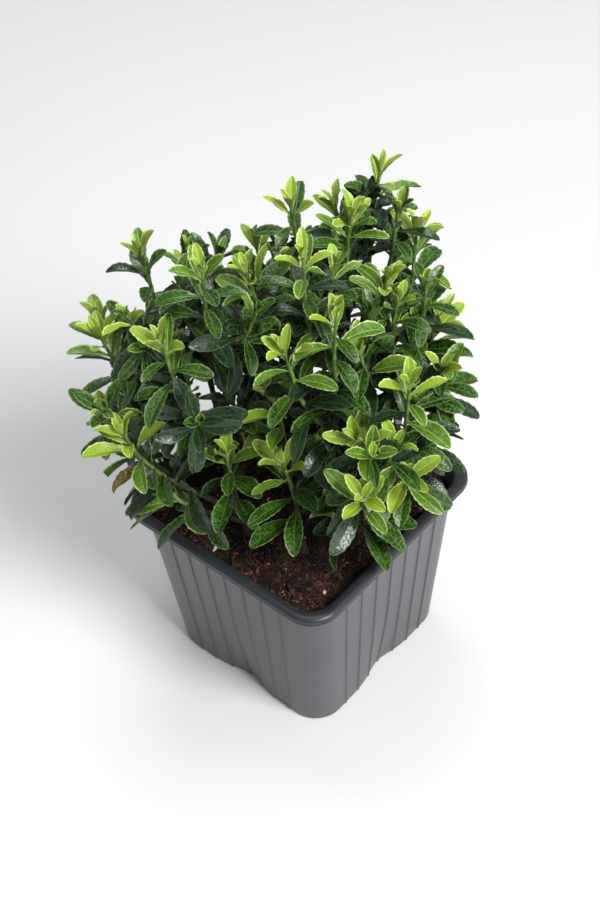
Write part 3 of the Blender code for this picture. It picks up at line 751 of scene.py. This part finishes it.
def make_pot(plastic):
    """The pot, with its drain holes cut through the base."""
    body = piece_of("pot_body", mesh_from(loft(pot_levels())), [plastic])
    cutters = []
    for x in (-DRAIN_OFFSET, DRAIN_OFFSET):
        for y in (-DRAIN_OFFSET, DRAIN_OFFSET):
            shape = bmesh.new()
            bmesh.ops.create_cone(shape, cap_ends=True, segments=DRAIN_SIDES, depth=BASE * 3,
                                  radius1=DRAIN_RADIUS, radius2=DRAIN_RADIUS)
            bmesh.ops.translate(shape, verts=shape.verts, vec=(x, y, 0))
            cut = body.modifiers.new("drain", "BOOLEAN")
            cut.object = piece_of("drain", mesh_from(shape), [plastic])
            cut.operation = "DIFFERENCE"
            cutters.append(cut.object)
    mesh = evaluated(body)
    for item in cutters + [body]:
        bpy.data.objects.remove(item, do_unlink=True)
    mesh.materials.clear()
    dress(piece_of("nursery_pot", mesh, [plastic], smooth_angle=50), "pot_plastic", "pot")


# Compost

def soil_height(x, y):
    """The compost's surface: soft heaps, lumps and grain, lower at the pot's wall."""
    edge = max(abs(x), abs(y)) / INNER_HALF
    heaps, lumps, grain = (Vector((x * waves, y * waves, level)) for waves, level in SOIL_WAVES)
    parts = (noise.noise(heaps), noise.fractal(lumps, *LUMP_DETAIL), noise.noise(grain))
    relief = SOIL_RELIEF * sum(share * part for share, part in zip(SOIL_SHARES, parts))
    return SOIL_TOP - SOIL_DIP * edge ** SOIL_DIP_FADE + relief


def make_compost(peat):
    """The block of compost, with a crumbly top."""
    levels = [pot_ring(height, wall_half(height) - WALL - GAP, WALL_CORNER - WALL)
              for height in SOIL_LEVELS]
    edge = levels[-1][1]
    for step in range(SOIL_RINGS):
        levels.append((SOIL_TOP, [point * (1 - step / SOIL_RINGS) for point in edge]))
    shape = loft(levels)
    for vert in shape.verts:
        if vert.co.z > SOIL_TOP - SOIL_DIP:
            vert.co.z = soil_height(vert.co.x, vert.co.y)
    bed = piece_of("compost_bed", mesh_from(shape), [peat], smooth_angle=60)
    dress(bed, "compost_peat", "compost")


def on_soil(draw):
    """A seeded place on the compost, with room to the wall."""
    reach = INNER_HALF - SOIL_MARGIN
    while True:
        x, y = draw.uniform(-reach, reach), draw.uniform(-reach, reach)
        beyond = Vector([max(0, abs(part) - reach + SOIL_CORNER) for part in (x, y)])
        if beyond.length < SOIL_CORNER:
            return x, y


def on_heap(draw, heaped):
    """A seeded place on the compost, in the heaps that a kind of crumb gathers in."""
    while True:
        x, y = on_soil(draw)
        place = Vector((x * HEAP_GRAIN, y * HEAP_GRAIN, heaped * HEAPS_APART))
        if noise.noise(place) > heaped * HEAP_SLOPE - HEAP_START:
            return x, y


def scatter(name, count, least, most, flatness, heaped, material, places_first=()):
    """Crumbs strewn over the compost, each a small lump of its own."""
    draw = random.Random(name)
    template = bmesh.new()
    bmesh.ops.create_icosphere(template, subdivisions=1, radius=0.5)
    corners = np.array([vert.co[:] for vert in template.verts])
    places = []
    for number in range(count):
        size = least + (most - least) * draw.random() ** CRUMB_FADE
        if number < len(places_first):
            size = most
            x, y = places_first[number]
        else:
            x, y = on_heap(draw, heaped)
        stretch = np.array([draw.uniform(*limits) for limits in CRUMB_STRETCH]) * (1, 1, flatness)
        dents = np.array([draw.uniform(*CRUMB_DENTS) for _ in corners])[:, None]
        lean = Matrix.Rotation(draw.uniform(-CRUMB_LEAN, CRUMB_LEAN), 3, "X")
        turn = np.array(Matrix.Rotation(draw.uniform(0, math.tau), 3, "Z") @ lean)
        rise = soil_height(x, y) + size * flatness * draw.uniform(*CRUMB_RISE)
        places.append((corners * dents * stretch * size) @ turn.T + (x, y, rise))
    mesh = stamped(template, np.array(places))
    template.free()
    dress(piece_of(name, mesh, [material], smooth_angle=75), "compost_peat")


def make_fibres(material):
    """Fine root and coir fibres, lying in loose bends."""
    draw = random.Random("fibres")
    paths = []
    radii = []
    for _ in range(FIBRES):
        x, y = on_soil(draw)
        way = draw.uniform(0, math.tau)
        step = draw.uniform(*FIBRE_STEPS)
        path = []
        for number in range(FIBRE_POINTS):
            lift = FIBRE_LIFT + FIBRE_ARCH * abs(math.sin(number * FIBRE_WAVE + way))
            path.append(Vector((x, y, soil_height(x, y) + lift)))
            way += draw.uniform(-FIBRE_BEND, FIBRE_BEND)
            x += math.cos(way) * step
            y += math.sin(way) * step
        if max(abs(part) for place in path for part in place.xy) <= FIBRE_REACH:
            paths.append(path)
            radii.append([draw.uniform(*FIBRE_RADII)] * len(path))
    dress(piece_of("straw_fibres", tubes(paths, radii, rounding=0), [material]), "compost_peat")


# Paths

def smooth_path(start, start_way, end, end_way):
    """Points a small step apart on one smooth bend from start to end."""
    reach = (end - start).length * PATH_BEND
    first = start + start_way.normalized() * reach
    second = end - end_way.normalized() * reach
    count = max(PATH_STEPS_LEAST, int((end - start).length / PATH_STEP))
    points = []
    for step in range(count + 1):
        t = step / count
        s = 1 - t
        points.append(start * s ** 3 + first * 3 * s * s * t
                      + second * 3 * s * t * t + end * t ** 3)
    return points


def path_length(points):
    return sum((after - before).length for before, after in zip(points, points[1:]))


def place_on(points, distance):
    """The point at a distance along a path, and the way the path goes there."""
    for before, after in zip(points, points[1:]):
        step = after - before
        if distance <= step.length:
            return before + step * (distance / step.length), step.normalized()
        distance -= step.length
    return points[-1].copy(), (points[-1] - points[-2]).normalized()


def place_at(points, share):
    """The point at a share of a path's length, and the way the path goes there."""
    return place_on(points, share * path_length(points))


def spaced(points, start, end, count):
    """Evenly spaced points along a path, from one distance to another."""
    return [place_on(points, start + (end - start) * step / count)[0] for step in range(count + 1)]


def cut_path(points, start, end):
    return spaced(points, start, end, max(2, int((end - start) / PATH_STEP)))


def tilted(angle, compass):
    """A unit vector that leans from the vertical by an angle, towards a compass angle."""
    lean = math.radians(angle)
    turn = math.radians(compass)
    out = math.sin(lean)
    return Vector((out * math.cos(turn), out * math.sin(turn), math.cos(lean)))


def compass_of(way):
    return math.degrees(math.atan2(way.y, way.x))


# The shrub's plan, by the rule that its solids follow

def plan_stems():
    stems = {}
    for name, x, y, lean_x, lean_y, height, radius in STEMS:
        foot = Vector((x, y, SOIL_TOP + GAP))
        top = foot + Vector((lean_x * height, lean_y * height, height))
        way = Vector((lean_x, lean_y, 1))
        stems[name] = {"path": smooth_path(foot, UP, top, way), "radius": radius}
    return stems


def stem_radius(stem, share):
    return stem["radius"] * (1 - (1 - STEM_TAPER) * share)


def samples_of(path):
    return np.array([tuple(point) for point in path])


def distances(points, others):
    """How far each point is from each of the others."""
    return np.sqrt(((points[:, None, :] - others[None, :, :]) ** 2).sum(axis=2))


def nearest(points, others):
    return distances(points, others).min(axis=1)


def limb_space(path, first, last):
    """The room that a tapering limb takes up: places on its axis and its radius at each."""
    return samples_of(path), np.linspace(first, last, len(path))


def stem_space(stem):
    return limb_space(stem["path"], stem["radius"], stem_radius(stem, 1))


def room(points, space):
    """How far the nearest of some points is from a limb's surface."""
    axis, radii = space
    return (distances(points, axis) - radii).min()


def ring_round(place, way, radius):
    side = way.orthogonal().normalized() * radius
    turns = [math.radians(360 * step / CLEAR_RING) for step in range(CLEAR_RING)]
    return [place + Matrix.Rotation(turn, 3, way) @ side for turn in turns]


def clear_start(route, stem):
    """How far along a route a bough can start without touching its stem."""
    distance = 0.0
    while distance < path_length(route) / 2:
        place, way = place_on(route, distance)
        if room(samples_of(ring_round(place, way, BOUGH_RADIUS)), stem) > GAP:
            return distance
        distance += CLEAR_STEP
    return None


def bough_route(start, away, tip, end_way, stem, others):
    """The first way out of a stem that keeps a bough clear of the limbs that are there."""
    for twist in BOUGH_TWISTS:
        for lean in BOUGH_LEANS:
            route = smooth_path(start, tilted(lean, away + twist), tip, end_way)
            clear = clear_start(route, stem)
            if clear is None:
                continue
            points = samples_of(cut_path(route, clear, path_length(route) * BOUGH_SHARE))
            apart = all(room(points, other) > BOUGH_RADIUS + BOUGH_GAP for other in others)
            if apart and room(points, stem) > GAP:
                return route, clear
    raise ValueError("no clear way for a bough")


def plan_leaders(stems):
    """Each mass's leader, from its place on the stem, and the bough that carries it."""
    plans = []
    limbs = {name: stem_space(stem) for name, stem in stems.items()}
    for name, stem_name, compass, out, height, sides in MASSES:
        stem = stems[stem_name]
        mates = [row[0] for row in MASSES if row[1] == stem_name]
        rank = mates.index(name)
        tip = tilted(90, compass) * out + UP * (SOIL_TOP + height)
        last = rank == len(mates) - 1
        share = 1.0 if last else BOUGH_LEAVES_LOW + (1 - BOUGH_LEAVES_LOW) * rank / (len(mates) - 1)
        start, way = place_at(stem["path"], share)
        away = compass_of(tip - start)
        end_way = tilted(TIP_LEAN, away)
        if last:
            route = smooth_path(start, way, tip, end_way)
            clear = GAP
        else:
            others = [space for key, space in limbs.items() if key != stem_name]
            route, clear = bough_route(start, away, tip, end_way, limbs[stem_name], others)
        whole = path_length(route)
        alone = last and whole < BOUGH_FROM
        mass = whole - clear if alone else min(MASS_LENGTH, MASS_SHARE * whole)
        plan = {"name": name, "sides": sides, "compass": compass, "route": route}
        plan["bough"] = None if alone else cut_path(route, clear, whole - mass - GAP)
        plan["leader"] = cut_path(route, whole - mass, whole)
        plan["growth"] = GROWTH_LOW - GROWTH_FALLS * height
        plan["apart"] = min(NODE_STEP_LOW + NODE_STEP_RISES * height, NODE_STEP_MOST)
        if plan["bough"]:
            limbs[name] = limb_space(plan["bough"], BOUGH_RADIUS, BOUGH_TIP_RADIUS)
        plans.append(plan)
    return plans


def side_shoot(plan, number, draw):
    """A shoot that leaves a leader and turns up to a tip beside and below the leader's own."""
    leader = plan["leader"]
    turn = SIDE_TURN if number else -SIDE_TURN
    compass = plan["compass"] + turn + draw.uniform(-SIDE_TURN_VARIES, SIDE_TURN_VARIES)
    share = SIDE_LEAVES_LOW + SIDE_LEAVES_STEP * (number + draw.uniform(0, SIDE_LEAVES_VARIES))
    start, way = place_at(leader, share)
    out = tilted(90, compass)
    drop = SIDE_DROP * (draw.uniform(*SIDE_DROPS) + SIDE_DROP_STEP * number)
    end = leader[-1] + out * SIDE_SPREAD * draw.uniform(*SIDE_SPREADS) - UP * drop
    leave = way + out * math.tan(math.radians(SIDE_LEAN))
    return smooth_path(start, leave, end, tilted(TIP_LEAN, compass))


def view_axes():
    """The view's ways across and up, and the way back to the eye."""
    back = tilted(90 - VIEW_ELEVATION, VIEW_AZIMUTH - 90)
    level = UP.cross(back).normalized()
    roll = Matrix.Rotation(math.radians(VIEW_ROLL), 3, back)
    return roll @ level, roll @ back.cross(level), back


def in_gaps(points):
    """Whether any of some places lies in a gap of the crown."""
    eye = np.array(Vector(VIEW_TARGET) + view_axes()[2] * VIEW_AWAY)
    for compass, out, height, half in GAPS:
        turn = math.radians(compass)
        middle = np.array((out * math.cos(turn), out * math.sin(turn), SOIL_TOP + height))
        sight = (middle - eye) / np.linalg.norm(middle - eye)
        away = points - middle
        aside = away - (away @ sight)[:, None] * sight
        if np.linalg.norm(aside, axis=1).min() < half:
            return True
    return False


class Spaces:
    """Which mass each place belongs to, and how near the limbs are."""

    def __init__(self, stems, plans):
        boughs = [plan["bough"] for plan in plans if plan["bough"]]
        self.limbs = [stem_space(stem) for stem in stems.values()]
        self.limbs += [limb_space(path, BOUGH_RADIUS, BOUGH_TIP_RADIUS) for path in boughs]
        self.twigs = [samples_of(plan["leader"]) for plan in plans]

    def add_twig(self, mass, path):
        self.twigs[mass] = np.vstack((self.twigs[mass], samples_of(path)))

    def others(self, mass):
        return np.vstack([twigs for index, twigs in enumerate(self.twigs) if index != mass])

    def off_limbs(self, points, clear):
        return all(room(points, space) > clear for space in self.limbs)

    def off_pot(self, points):
        across = np.abs(points[:, :2]).max(axis=1)
        height = points[:, 2]
        wall = INNER_HALF - RIM_CLEAR
        over_rim = (across > wall) & (across < RIM_HALF + RIM_CLEAR)
        rim_free = np.all(height[over_rim] > RIM_TOP + RIM_CLEAR)
        soil_free = np.all(height[across <= wall] > SOIL_TOP + RIM_CLEAR)
        return bool(rim_free and soil_free and np.all(height > SOIL_TOP - SIDE_DROP))

    def twig_fits(self, mass, path, clear=TWIG_CLEAR):
        points = samples_of(path)
        apart = nearest(points, self.others(mass)).min() > clear and not in_gaps(points)
        return apart and self.off_limbs(points, clear / 2) and self.off_pot(points)

    def leaf_fits(self, mass, points):
        own = nearest(points, self.twigs[mass])
        other = nearest(points, self.others(mass))
        at_home = bool(np.all(other - own > SPACE_MARGIN)) and not in_gaps(points)
        return at_home and self.off_pot(points) and self.off_limbs(points, LIMB_CLEAR)


def plan_shoots(plans, spaces):
    for index, plan in enumerate(plans):
        draw = random.Random("shoots " + plan["name"])
        plan["shoots"] = [plan["leader"]]
        for number in range(plan["sides"]):
            for _ in range(SIDE_TRIES):
                path = side_shoot(plan, number, draw)
                if spaces.twig_fits(index, path):
                    spaces.add_twig(index, path)
                    plan["shoots"].append(path)
                    break


def fine_shoot(plan, draw):
    """A short shoot off one of a mass's shoots, leaning out to any side."""
    carrier = draw.choice(plan["shoots"])
    start, way = place_at(carrier, draw.uniform(*FINE_FROM))
    compass = draw.uniform(0, 360)
    lean = tilted(draw.uniform(*FINE_LEAN), compass)
    end = start + lean * draw.uniform(*FINE_LENGTHS)
    leave = tilted(FINE_LEAVE_LEAN, compass) + way
    return smooth_path(start, leave, end, tilted(TIP_LEAN, compass))


def plan_fine_shoots(plans, spaces):
    """Finer shoots in each mass, no higher and no further out than its tips."""
    for index, plan in enumerate(plans):
        draw = random.Random("fine " + plan["name"])
        top = max(shoot[-1].z for shoot in plan["shoots"])
        reach = max(shoot[-1].xy.length for shoot in plan["shoots"])
        found = []
        for _ in range(max(1, min(FINE_SHOOTS, plan["sides"]))):
            for _ in range(FINE_TRIES):
                path = fine_shoot(plan, draw)
                within = path[-1].z < top and path[-1].xy.length < reach
                tips = samples_of(path[FINE_POINTS_ON:])
                apart = nearest(tips, spaces.twigs[index]).min() > FINE_CLEAR
                if within and apart and spaces.twig_fits(index, path, FINE_CLEAR):
                    spaces.add_twig(index, path)
                    found.append(path)
                    break
        plan["shoots"] += found


# Leaves, by the same rule

def leaf_frame(way, angle, turn):
    """The axes along, across and out of the upper side of a leaf that leaves a twig at an angle."""
    side = Matrix.Rotation(math.radians(turn), 3, way) @ way.cross(UP).normalized()
    lean = math.radians(angle)
    along = way * math.cos(lean) + side * math.sin(lean)
    face = way * math.sin(lean) - side * math.cos(lean)
    across = face.cross(along)
    return Matrix((along, across, face)).transposed()


def blade_lift(long, share):
    """How far a leaf's blade is above its root's line, at a share of its length."""
    return LEAF_ARCH * long * (1 - abs(2 * share - 1)) - LEAF_DROOP * long * share ** 2


def leaf_points(long, wide):
    """Places over a leaf's blade that have to keep to the mass's space."""
    return [Vector((share * long, side * width * wide / 2, blade_lift(long, share)))
            for share, width in LEAF_OUTLINE for side in (-1, 0, 1)]


def node_distances(long, apart):
    """Distances of the leaf nodes from a shoot's tip, closer together near the tip."""
    places = []
    distance = NODE_STEP / 2
    step = NODE_STEP
    while distance < long - NODE_FREE:
        places.append(distance)
        distance += step
        step = min(step + NODE_STEP_GROWS, apart)
    return places


def twig_line(path):
    """The few straight stretches that a twig is made of."""
    long = path_length(path)
    return spaced(path, 0.0, long, max(3, int(long / TWIG_STEP)))


def plan_leaves(index, plan, spaces):
    """Opposite pairs of leaves on each shoot, each pair turned from the last."""
    leaves = []
    for number, shoot in enumerate(plan["shoots"]):
        path = twig_line(shoot)
        long = path_length(path)
        for node, distance in enumerate(node_distances(long, plan["apart"])):
            root, way = place_on(path, long - distance)
            for side in (0, 1):
                draw = random.Random(f"{plan['name']} {number} {node} {side}")
                rank = min(node, len(LEAF_LENGTHS) - 1)
                size = LEAF_LENGTHS[rank] * plan["growth"] * draw.uniform(*LEAF_SIZES)
                angle = LEAF_ANGLES[rank] + draw.uniform(-LEAF_ANGLE_VARIES, LEAF_ANGLE_VARIES)
                turn = PAIR_TURN * node + 180 * side + SHOOT_TURN * number
                turn += draw.uniform(-LEAF_TURN_VARIES, LEAF_TURN_VARIES)
                for twist, lift, scale in LEAF_TRIES:
                    axes = leaf_frame(way, max(angle - lift, LEAF_ANGLE_LEAST), turn + twist)
                    length = size * scale
                    flat = leaf_points(length, length * LEAF_WIDTH)
                    spots = samples_of([root + axes @ spot for spot in flat])
                    if spaces.leaf_fits(index, spots):
                        leaves.append({"axes": axes, "root": root, "long": length, "draw": draw,
                                       "key": (plan["name"], number, node, side)})
                        break
    return leaves


# Bark, twigs and leaves as meshes

def bark_limb(node, path, radii, material):
    """A limb whose skin is pushed in and out in lengthwise ridges."""
    mesh = tubes([path], [radii], rounding=4)
    depth = radii[-1] * BARK_RELIEF
    for vert in mesh.vertices:
        x, y, z = (part * BARK_GRAIN for part in vert.co)
        ridge = noise.fractal(Vector((x, y, z * BARK_STRETCH)), *BARK_DETAIL)
        vert.co += vert.normal * depth * ridge
    dress(piece_of(node + "_bark", mesh, [material], smooth_angle=60), "bark", node)


def make_stems(stems, bark):
    for name, stem in stems.items():
        long = path_length(stem["path"])
        count = int(long / LIMB_STEP)
        radii = []
        for step in range(count + 1):
            share = step / count
            flare = max(0.0, 1 - share * long / FLARE_HEIGHT) ** 2
            radii.append(stem_radius(stem, share) * (1 + (FLARE - 1) * flare))
        bark_limb(name, spaced(stem["path"], 0.0, long, count), radii, bark)


def make_boughs(plans, bark):
    for plan in plans:
        if not plan["bough"]:
            continue
        end = path_length(plan["route"]) - path_length(plan["leader"]) + GAP * 2
        path = cut_path(plan["route"], BOUGH_RADIUS, end)
        long = path_length(path)
        count = int(long / LIMB_STEP)
        radii = list(np.linspace(BOUGH_RADIUS, BOUGH_TIP_RADIUS, count + 1))
        bark_limb("bough_" + plan["name"], spaced(path, 0.0, long, count), radii, bark)


def twig_radii(path, share_from, share_to, nodes, long):
    """A twig's radius at each point: it tapers, and swells a little at each pair of leaves."""
    radii = []
    for index in range(len(path)):
        share = share_from + (share_to - share_from) * index / (len(path) - 1)
        radius = TWIG_RADIUS + (TWIG_TIP_RADIUS - TWIG_RADIUS) * share
        gap = min((abs(long * (1 - share) - node) for node in nodes), default=1.0)
        radii.append(radius * (1 + NODE_SWELL * math.exp(-(gap / NODE_WIDTH) ** 2)))
    return radii


def make_twigs(plans, woody_bark, green_bark):
    """All twigs: woody at their foot, green and smooth towards their tips."""
    for kind, begin, end, bark, slot, nodes in (
        ("woody", 0.0, GREEN_FROM, woody_bark, "bark", FOLIAGE),
        ("green", GREEN_FROM - GREEN_OVERLAP, 1.0, green_bark, "leaf_green", ()),
    ):
        paths = []
        radii = []
        for plan in plans:
            for shoot in plan["shoots"]:
                line = twig_line(shoot)
                long = path_length(line)
                pairs = node_distances(long, plan["apart"])
                count = max(4, int(long * (end - begin) / TWIG_MESH_STEP))
                spots = [begin + (end - begin) * step / count for step in range(count + 1)]
                paths.append([place_on(line, long * spot)[0] for spot in spots])
                radii.append(twig_radii(paths[-1], begin, end, pairs, long))
        mesh = tubes(paths, radii, rounding=1)
        dress(piece_of("twigs_" + kind, mesh, [bark], smooth_angle=70), slot, *nodes)


def leaf_template():
    """A leaf's faces, flat: a toothed upper side of blade, edge and rib, and a plain underside."""
    shape = bmesh.new()
    stations = len(BLADE_STATIONS) - 1
    bmesh.ops.create_grid(shape, x_segments=stations, y_segments=len(STRIPS), size=0.5)
    for face in shape.faces:
        face.material_index = STRIPS[int((face.calc_center_median().y + 0.5) * len(STRIPS))]
    sides = [edge for edge in shape.edges
             if edge.is_boundary and all(abs(vert.co.y) > 0.499 for vert in edge.verts)]
    bmesh.ops.subdivide_edges(shape, edges=sides, cuts=1)
    below = bmesh.ops.create_grid(shape, x_segments=stations // 2, y_segments=2, size=0.5)["verts"]
    under = {face for vert in below for face in vert.link_faces}
    for face in under:
        face.material_index = UNDERSIDE
    bmesh.ops.reverse_faces(shape, faces=list(under))
    bmesh.ops.translate(shape, verts=below, vec=(0, 0, -1))
    shape.verts.index_update()
    return shape


def template_places(template):
    """Each vertex's station, side and line, and which of them are teeth and which are below."""
    x, y, z = np.array([vert.co[:] for vert in template.verts]).T
    along = (x + 0.5) * (len(BLADE_STATIONS) - 1)
    line = np.round(np.abs(y) * 2 * len(STRIPS))
    below = z < -0.5
    tooth = (np.abs(along - np.round(along)) > 0.25) & ~below
    return along, np.sign(y) * (line > 0), line, tooth, below


def shaped_leaves(leaves, template):
    """Vertex places of every leaf: folded along its rib, arched, twisted and waved by its draws."""
    along, side, line, tooth, below = template_places(template)
    on_rib, on_edge, outer = (line == one for one in (RIB_LINE, EDGE_LINE, OUTER_LINE))
    pucker = PUCKER * (on_edge * np.where(np.round(along) % 2, 1, -1) - on_rib * RIB_SINK)
    whole, whole_widths = np.array(BLADE_STATIONS).T

    def at(values):
        return np.interp(along, np.arange(len(whole)), values)

    places = []
    for leaf in leaves:
        shares = whole * (CLIPPED_AT if leaf["key"] == CLIPPED_LEAF else 1)
        runs = np.diff(shares, prepend=0.0)
        heading = leaf["raise"] - np.cumsum(runs) ** ARCH_FADE * leaf["arch"]
        wave = leaf["wave"] * np.sin(shares * leaf["waves"] + leaf["phase"])
        half = at(np.interp(shares, whole, whole_widths)) * leaf["wide"] / 2
        rib = np.minimum(RIB_HALF * (RIB_FADE - at(shares)), half / 2)
        edge = np.maximum(half - MARGIN, half * EDGE_LEAST)
        reach = np.select((on_rib, on_edge, outer), (rib, edge, half))
        reach[below] *= UNDERSIDE_SHARE
        reach[tooth] += TOOTH * leaf["wide"] / 2 + TOOTH_LEAST
        lift = reach * leaf["fold"] + at(wave) * side * (reach / (leaf["wide"] / 2)) ** 2
        lift += pucker - leaf["curl"] * reach * outer - UNDERSIDE_DROP * below
        across = side * reach
        turn = leaf["twist"] * at(shares)
        turned = across * np.cos(turn) - lift * np.sin(turn)
        lift = across * np.sin(turn) + lift * np.cos(turn)
        angle = at(heading)
        x = at(np.cumsum(runs * leaf["long"] * np.cos(heading))) - np.sin(angle) * lift
        z = at(np.cumsum(runs * leaf["long"] * np.sin(heading))) + np.cos(angle) * lift
        flat = np.column_stack((x, turned, z))
        places.append(flat @ np.array(leaf["axes"]).T + np.array(leaf["root"]))
    return np.array(places)


def leaf_habit(leaf, fresh, small_spray):
    """Gives a leaf its kind by its age and spray, and its fold, arch, twist and waves. Older leaves
    on the fuller sprays may take the darkest kind, which is partly painted shade.
    """
    draw = leaf["draw"]
    age = leaf["key"][2] - fresh
    if leaf["key"] == WITHERED_LEAF:
        leaf["kind"] = "withered"
    elif age < 0:
        leaf["kind"] = "lime"
    elif age < 1:
        leaf["kind"] = draw.choice(("fresh", "fresh", "green"))
    # Painted shade: older leaves may take the darkest kind, and on small sprays fewer of them do
    elif age < 3:
        leaf["kind"] = draw.choice(("fresh", "green", "green", "green", "deep"))
    else:
        leaf["kind"] = draw.choice(("green", "green" if small_spray else "deep", "deep"))
    young = max(0.0, 1 - leaf["key"][2] / YOUNG_PAIRS)
    for part, limits in LEAF_HABIT.items():
        leaf[part] = draw.uniform(*limits)
    leaf["fold"] += YOUNG_FOLD * young
    leaf["arch"] *= 1 - YOUNG_STRAIGHT * young
    least, most = (young * new + (1 - young) * old for new, old in zip(YOUNG_WIDTHS, GROWN_WIDTHS))
    leaf["wide"] = leaf["long"] * draw.uniform(least, most)


def make_leaves(plans, spaces, finishes):
    template = leaf_template()
    kinds = {}
    for index, plan in enumerate(plans):
        for leaf in plan_leaves(index, plan, spaces):
            name, shoot = leaf["key"][:2]
            pairs = FRESH_PAIRS[min(shoot, len(FRESH_PAIRS) - 1)]
            fresh = random.Random(f"age {name} {shoot}").choice(pairs)
            leaf_habit(leaf, fresh, plan["sides"] < 2)
            kinds.setdefault(leaf["kind"], []).append(leaf)
    for kind, leaves in sorted(kinds.items()):
        mesh = stamped(template, shaped_leaves(leaves, template))
        dress(piece_of("leaves_" + kind, mesh, finishes[kind], smooth_angle=80), "leaf_green")
    template.free()


def leaf_finishes():
    finishes = {}
    for kind, (dark, light, edge, gloss, mottle, shine) in LEAF_KINDS.items():
        rib = tuple(one * (1 - RIB_LIGHT) + two * RIB_LIGHT for one, two in zip(edge, light))
        under = tuple(part * UNDERSIDE_DULL + UNDERSIDE_LIFT for part in light)
        finishes[kind] = [
            blade_finish("blade_" + kind, dark, light, gloss, mottle, shine),
            plain_leaf("edge_" + kind, edge, rough=0.45),
            plain_leaf("rib_" + kind, rib, rough=0.40),
            plain_leaf("underside_" + kind, under, rough=0.55),
        ]
    return finishes


# Stage

def make_floor():
    finish = Finish("pale_floor", Specular_IOR_Level=0.2, Roughness=0.9)
    finish.base(finish.noise(*FLOOR_CLOUDS), FLOOR_DARK, FLOOR_LIGHT)
    shape = bmesh.new()
    bmesh.ops.create_grid(shape, x_segments=1, y_segments=1, size=FLOOR_SIZE)
    floor = piece_of("floor", mesh_from(shape), [finish.material])
    floor.location.z = -FLOOR_DROP


def make_lights():
    world = bpy.data.worlds.new("studio")
    bpy.context.scene.world = world
    world.use_nodes = True
    background = world.node_tree.nodes["Background"]
    background.inputs["Color"].default_value = AMBIENT_TONE
    background.inputs["Strength"].default_value = AMBIENT
    for name, compass, elevation, away, size, power, tone in LIGHTS:
        lamp = bpy.data.lights.new(name, "AREA")
        lamp.shape = "DISK"
        lamp.size = size
        lamp.energy = power
        lamp.color = tone
        place = tilted(90 - elevation, compass) * away
        item = placed(name, lamp)
        item.location = place
        item.rotation_euler = (place - LIGHT_TARGET).to_track_quat("Z", "Y").to_euler()


def make_camera():
    """The photograph's view, from above the pot's front corner."""
    across, upward, back = view_axes()
    lens = bpy.data.cameras.new("view")
    lens.lens = VIEW_LENS
    lens.sensor_width = VIEW_FILM
    lens.clip_start = VIEW_NEAR
    camera = placed("view", lens)
    eye = Vector(VIEW_TARGET) + back * VIEW_AWAY
    axes = Matrix((across, upward, back)).transposed()
    camera.matrix_world = Matrix.Translation(eye) @ axes.to_4x4()
    bpy.context.scene.camera = camera


def main():
    make_pot(pot_plastic())
    make_compost(compost_finish())
    for name, *sizes, dark, light, grain in CRUMBS:
        places_first = PERLITE_PLACES if name == "perlite" else ()
        scatter(name, *sizes, earth(name.removesuffix("s"), dark, light, grain), places_first)
    make_fibres(earth(*STRAW))

    stems = plan_stems()
    plans = plan_leaders(stems)
    spaces = Spaces(stems, plans)
    plan_shoots(plans, spaces)
    plan_fine_shoots(plans, spaces)
    old, woody, green = (bark_finish(*row) for row in BARKS)
    make_stems(stems, old)
    make_boughs(plans, old)
    make_twigs(plans, woody, green)
    make_leaves(plans, spaces, leaf_finishes())

    make_floor()
    make_lights()
    make_camera()
    bpy.context.scene.view_settings.view_transform = "Standard"


main()
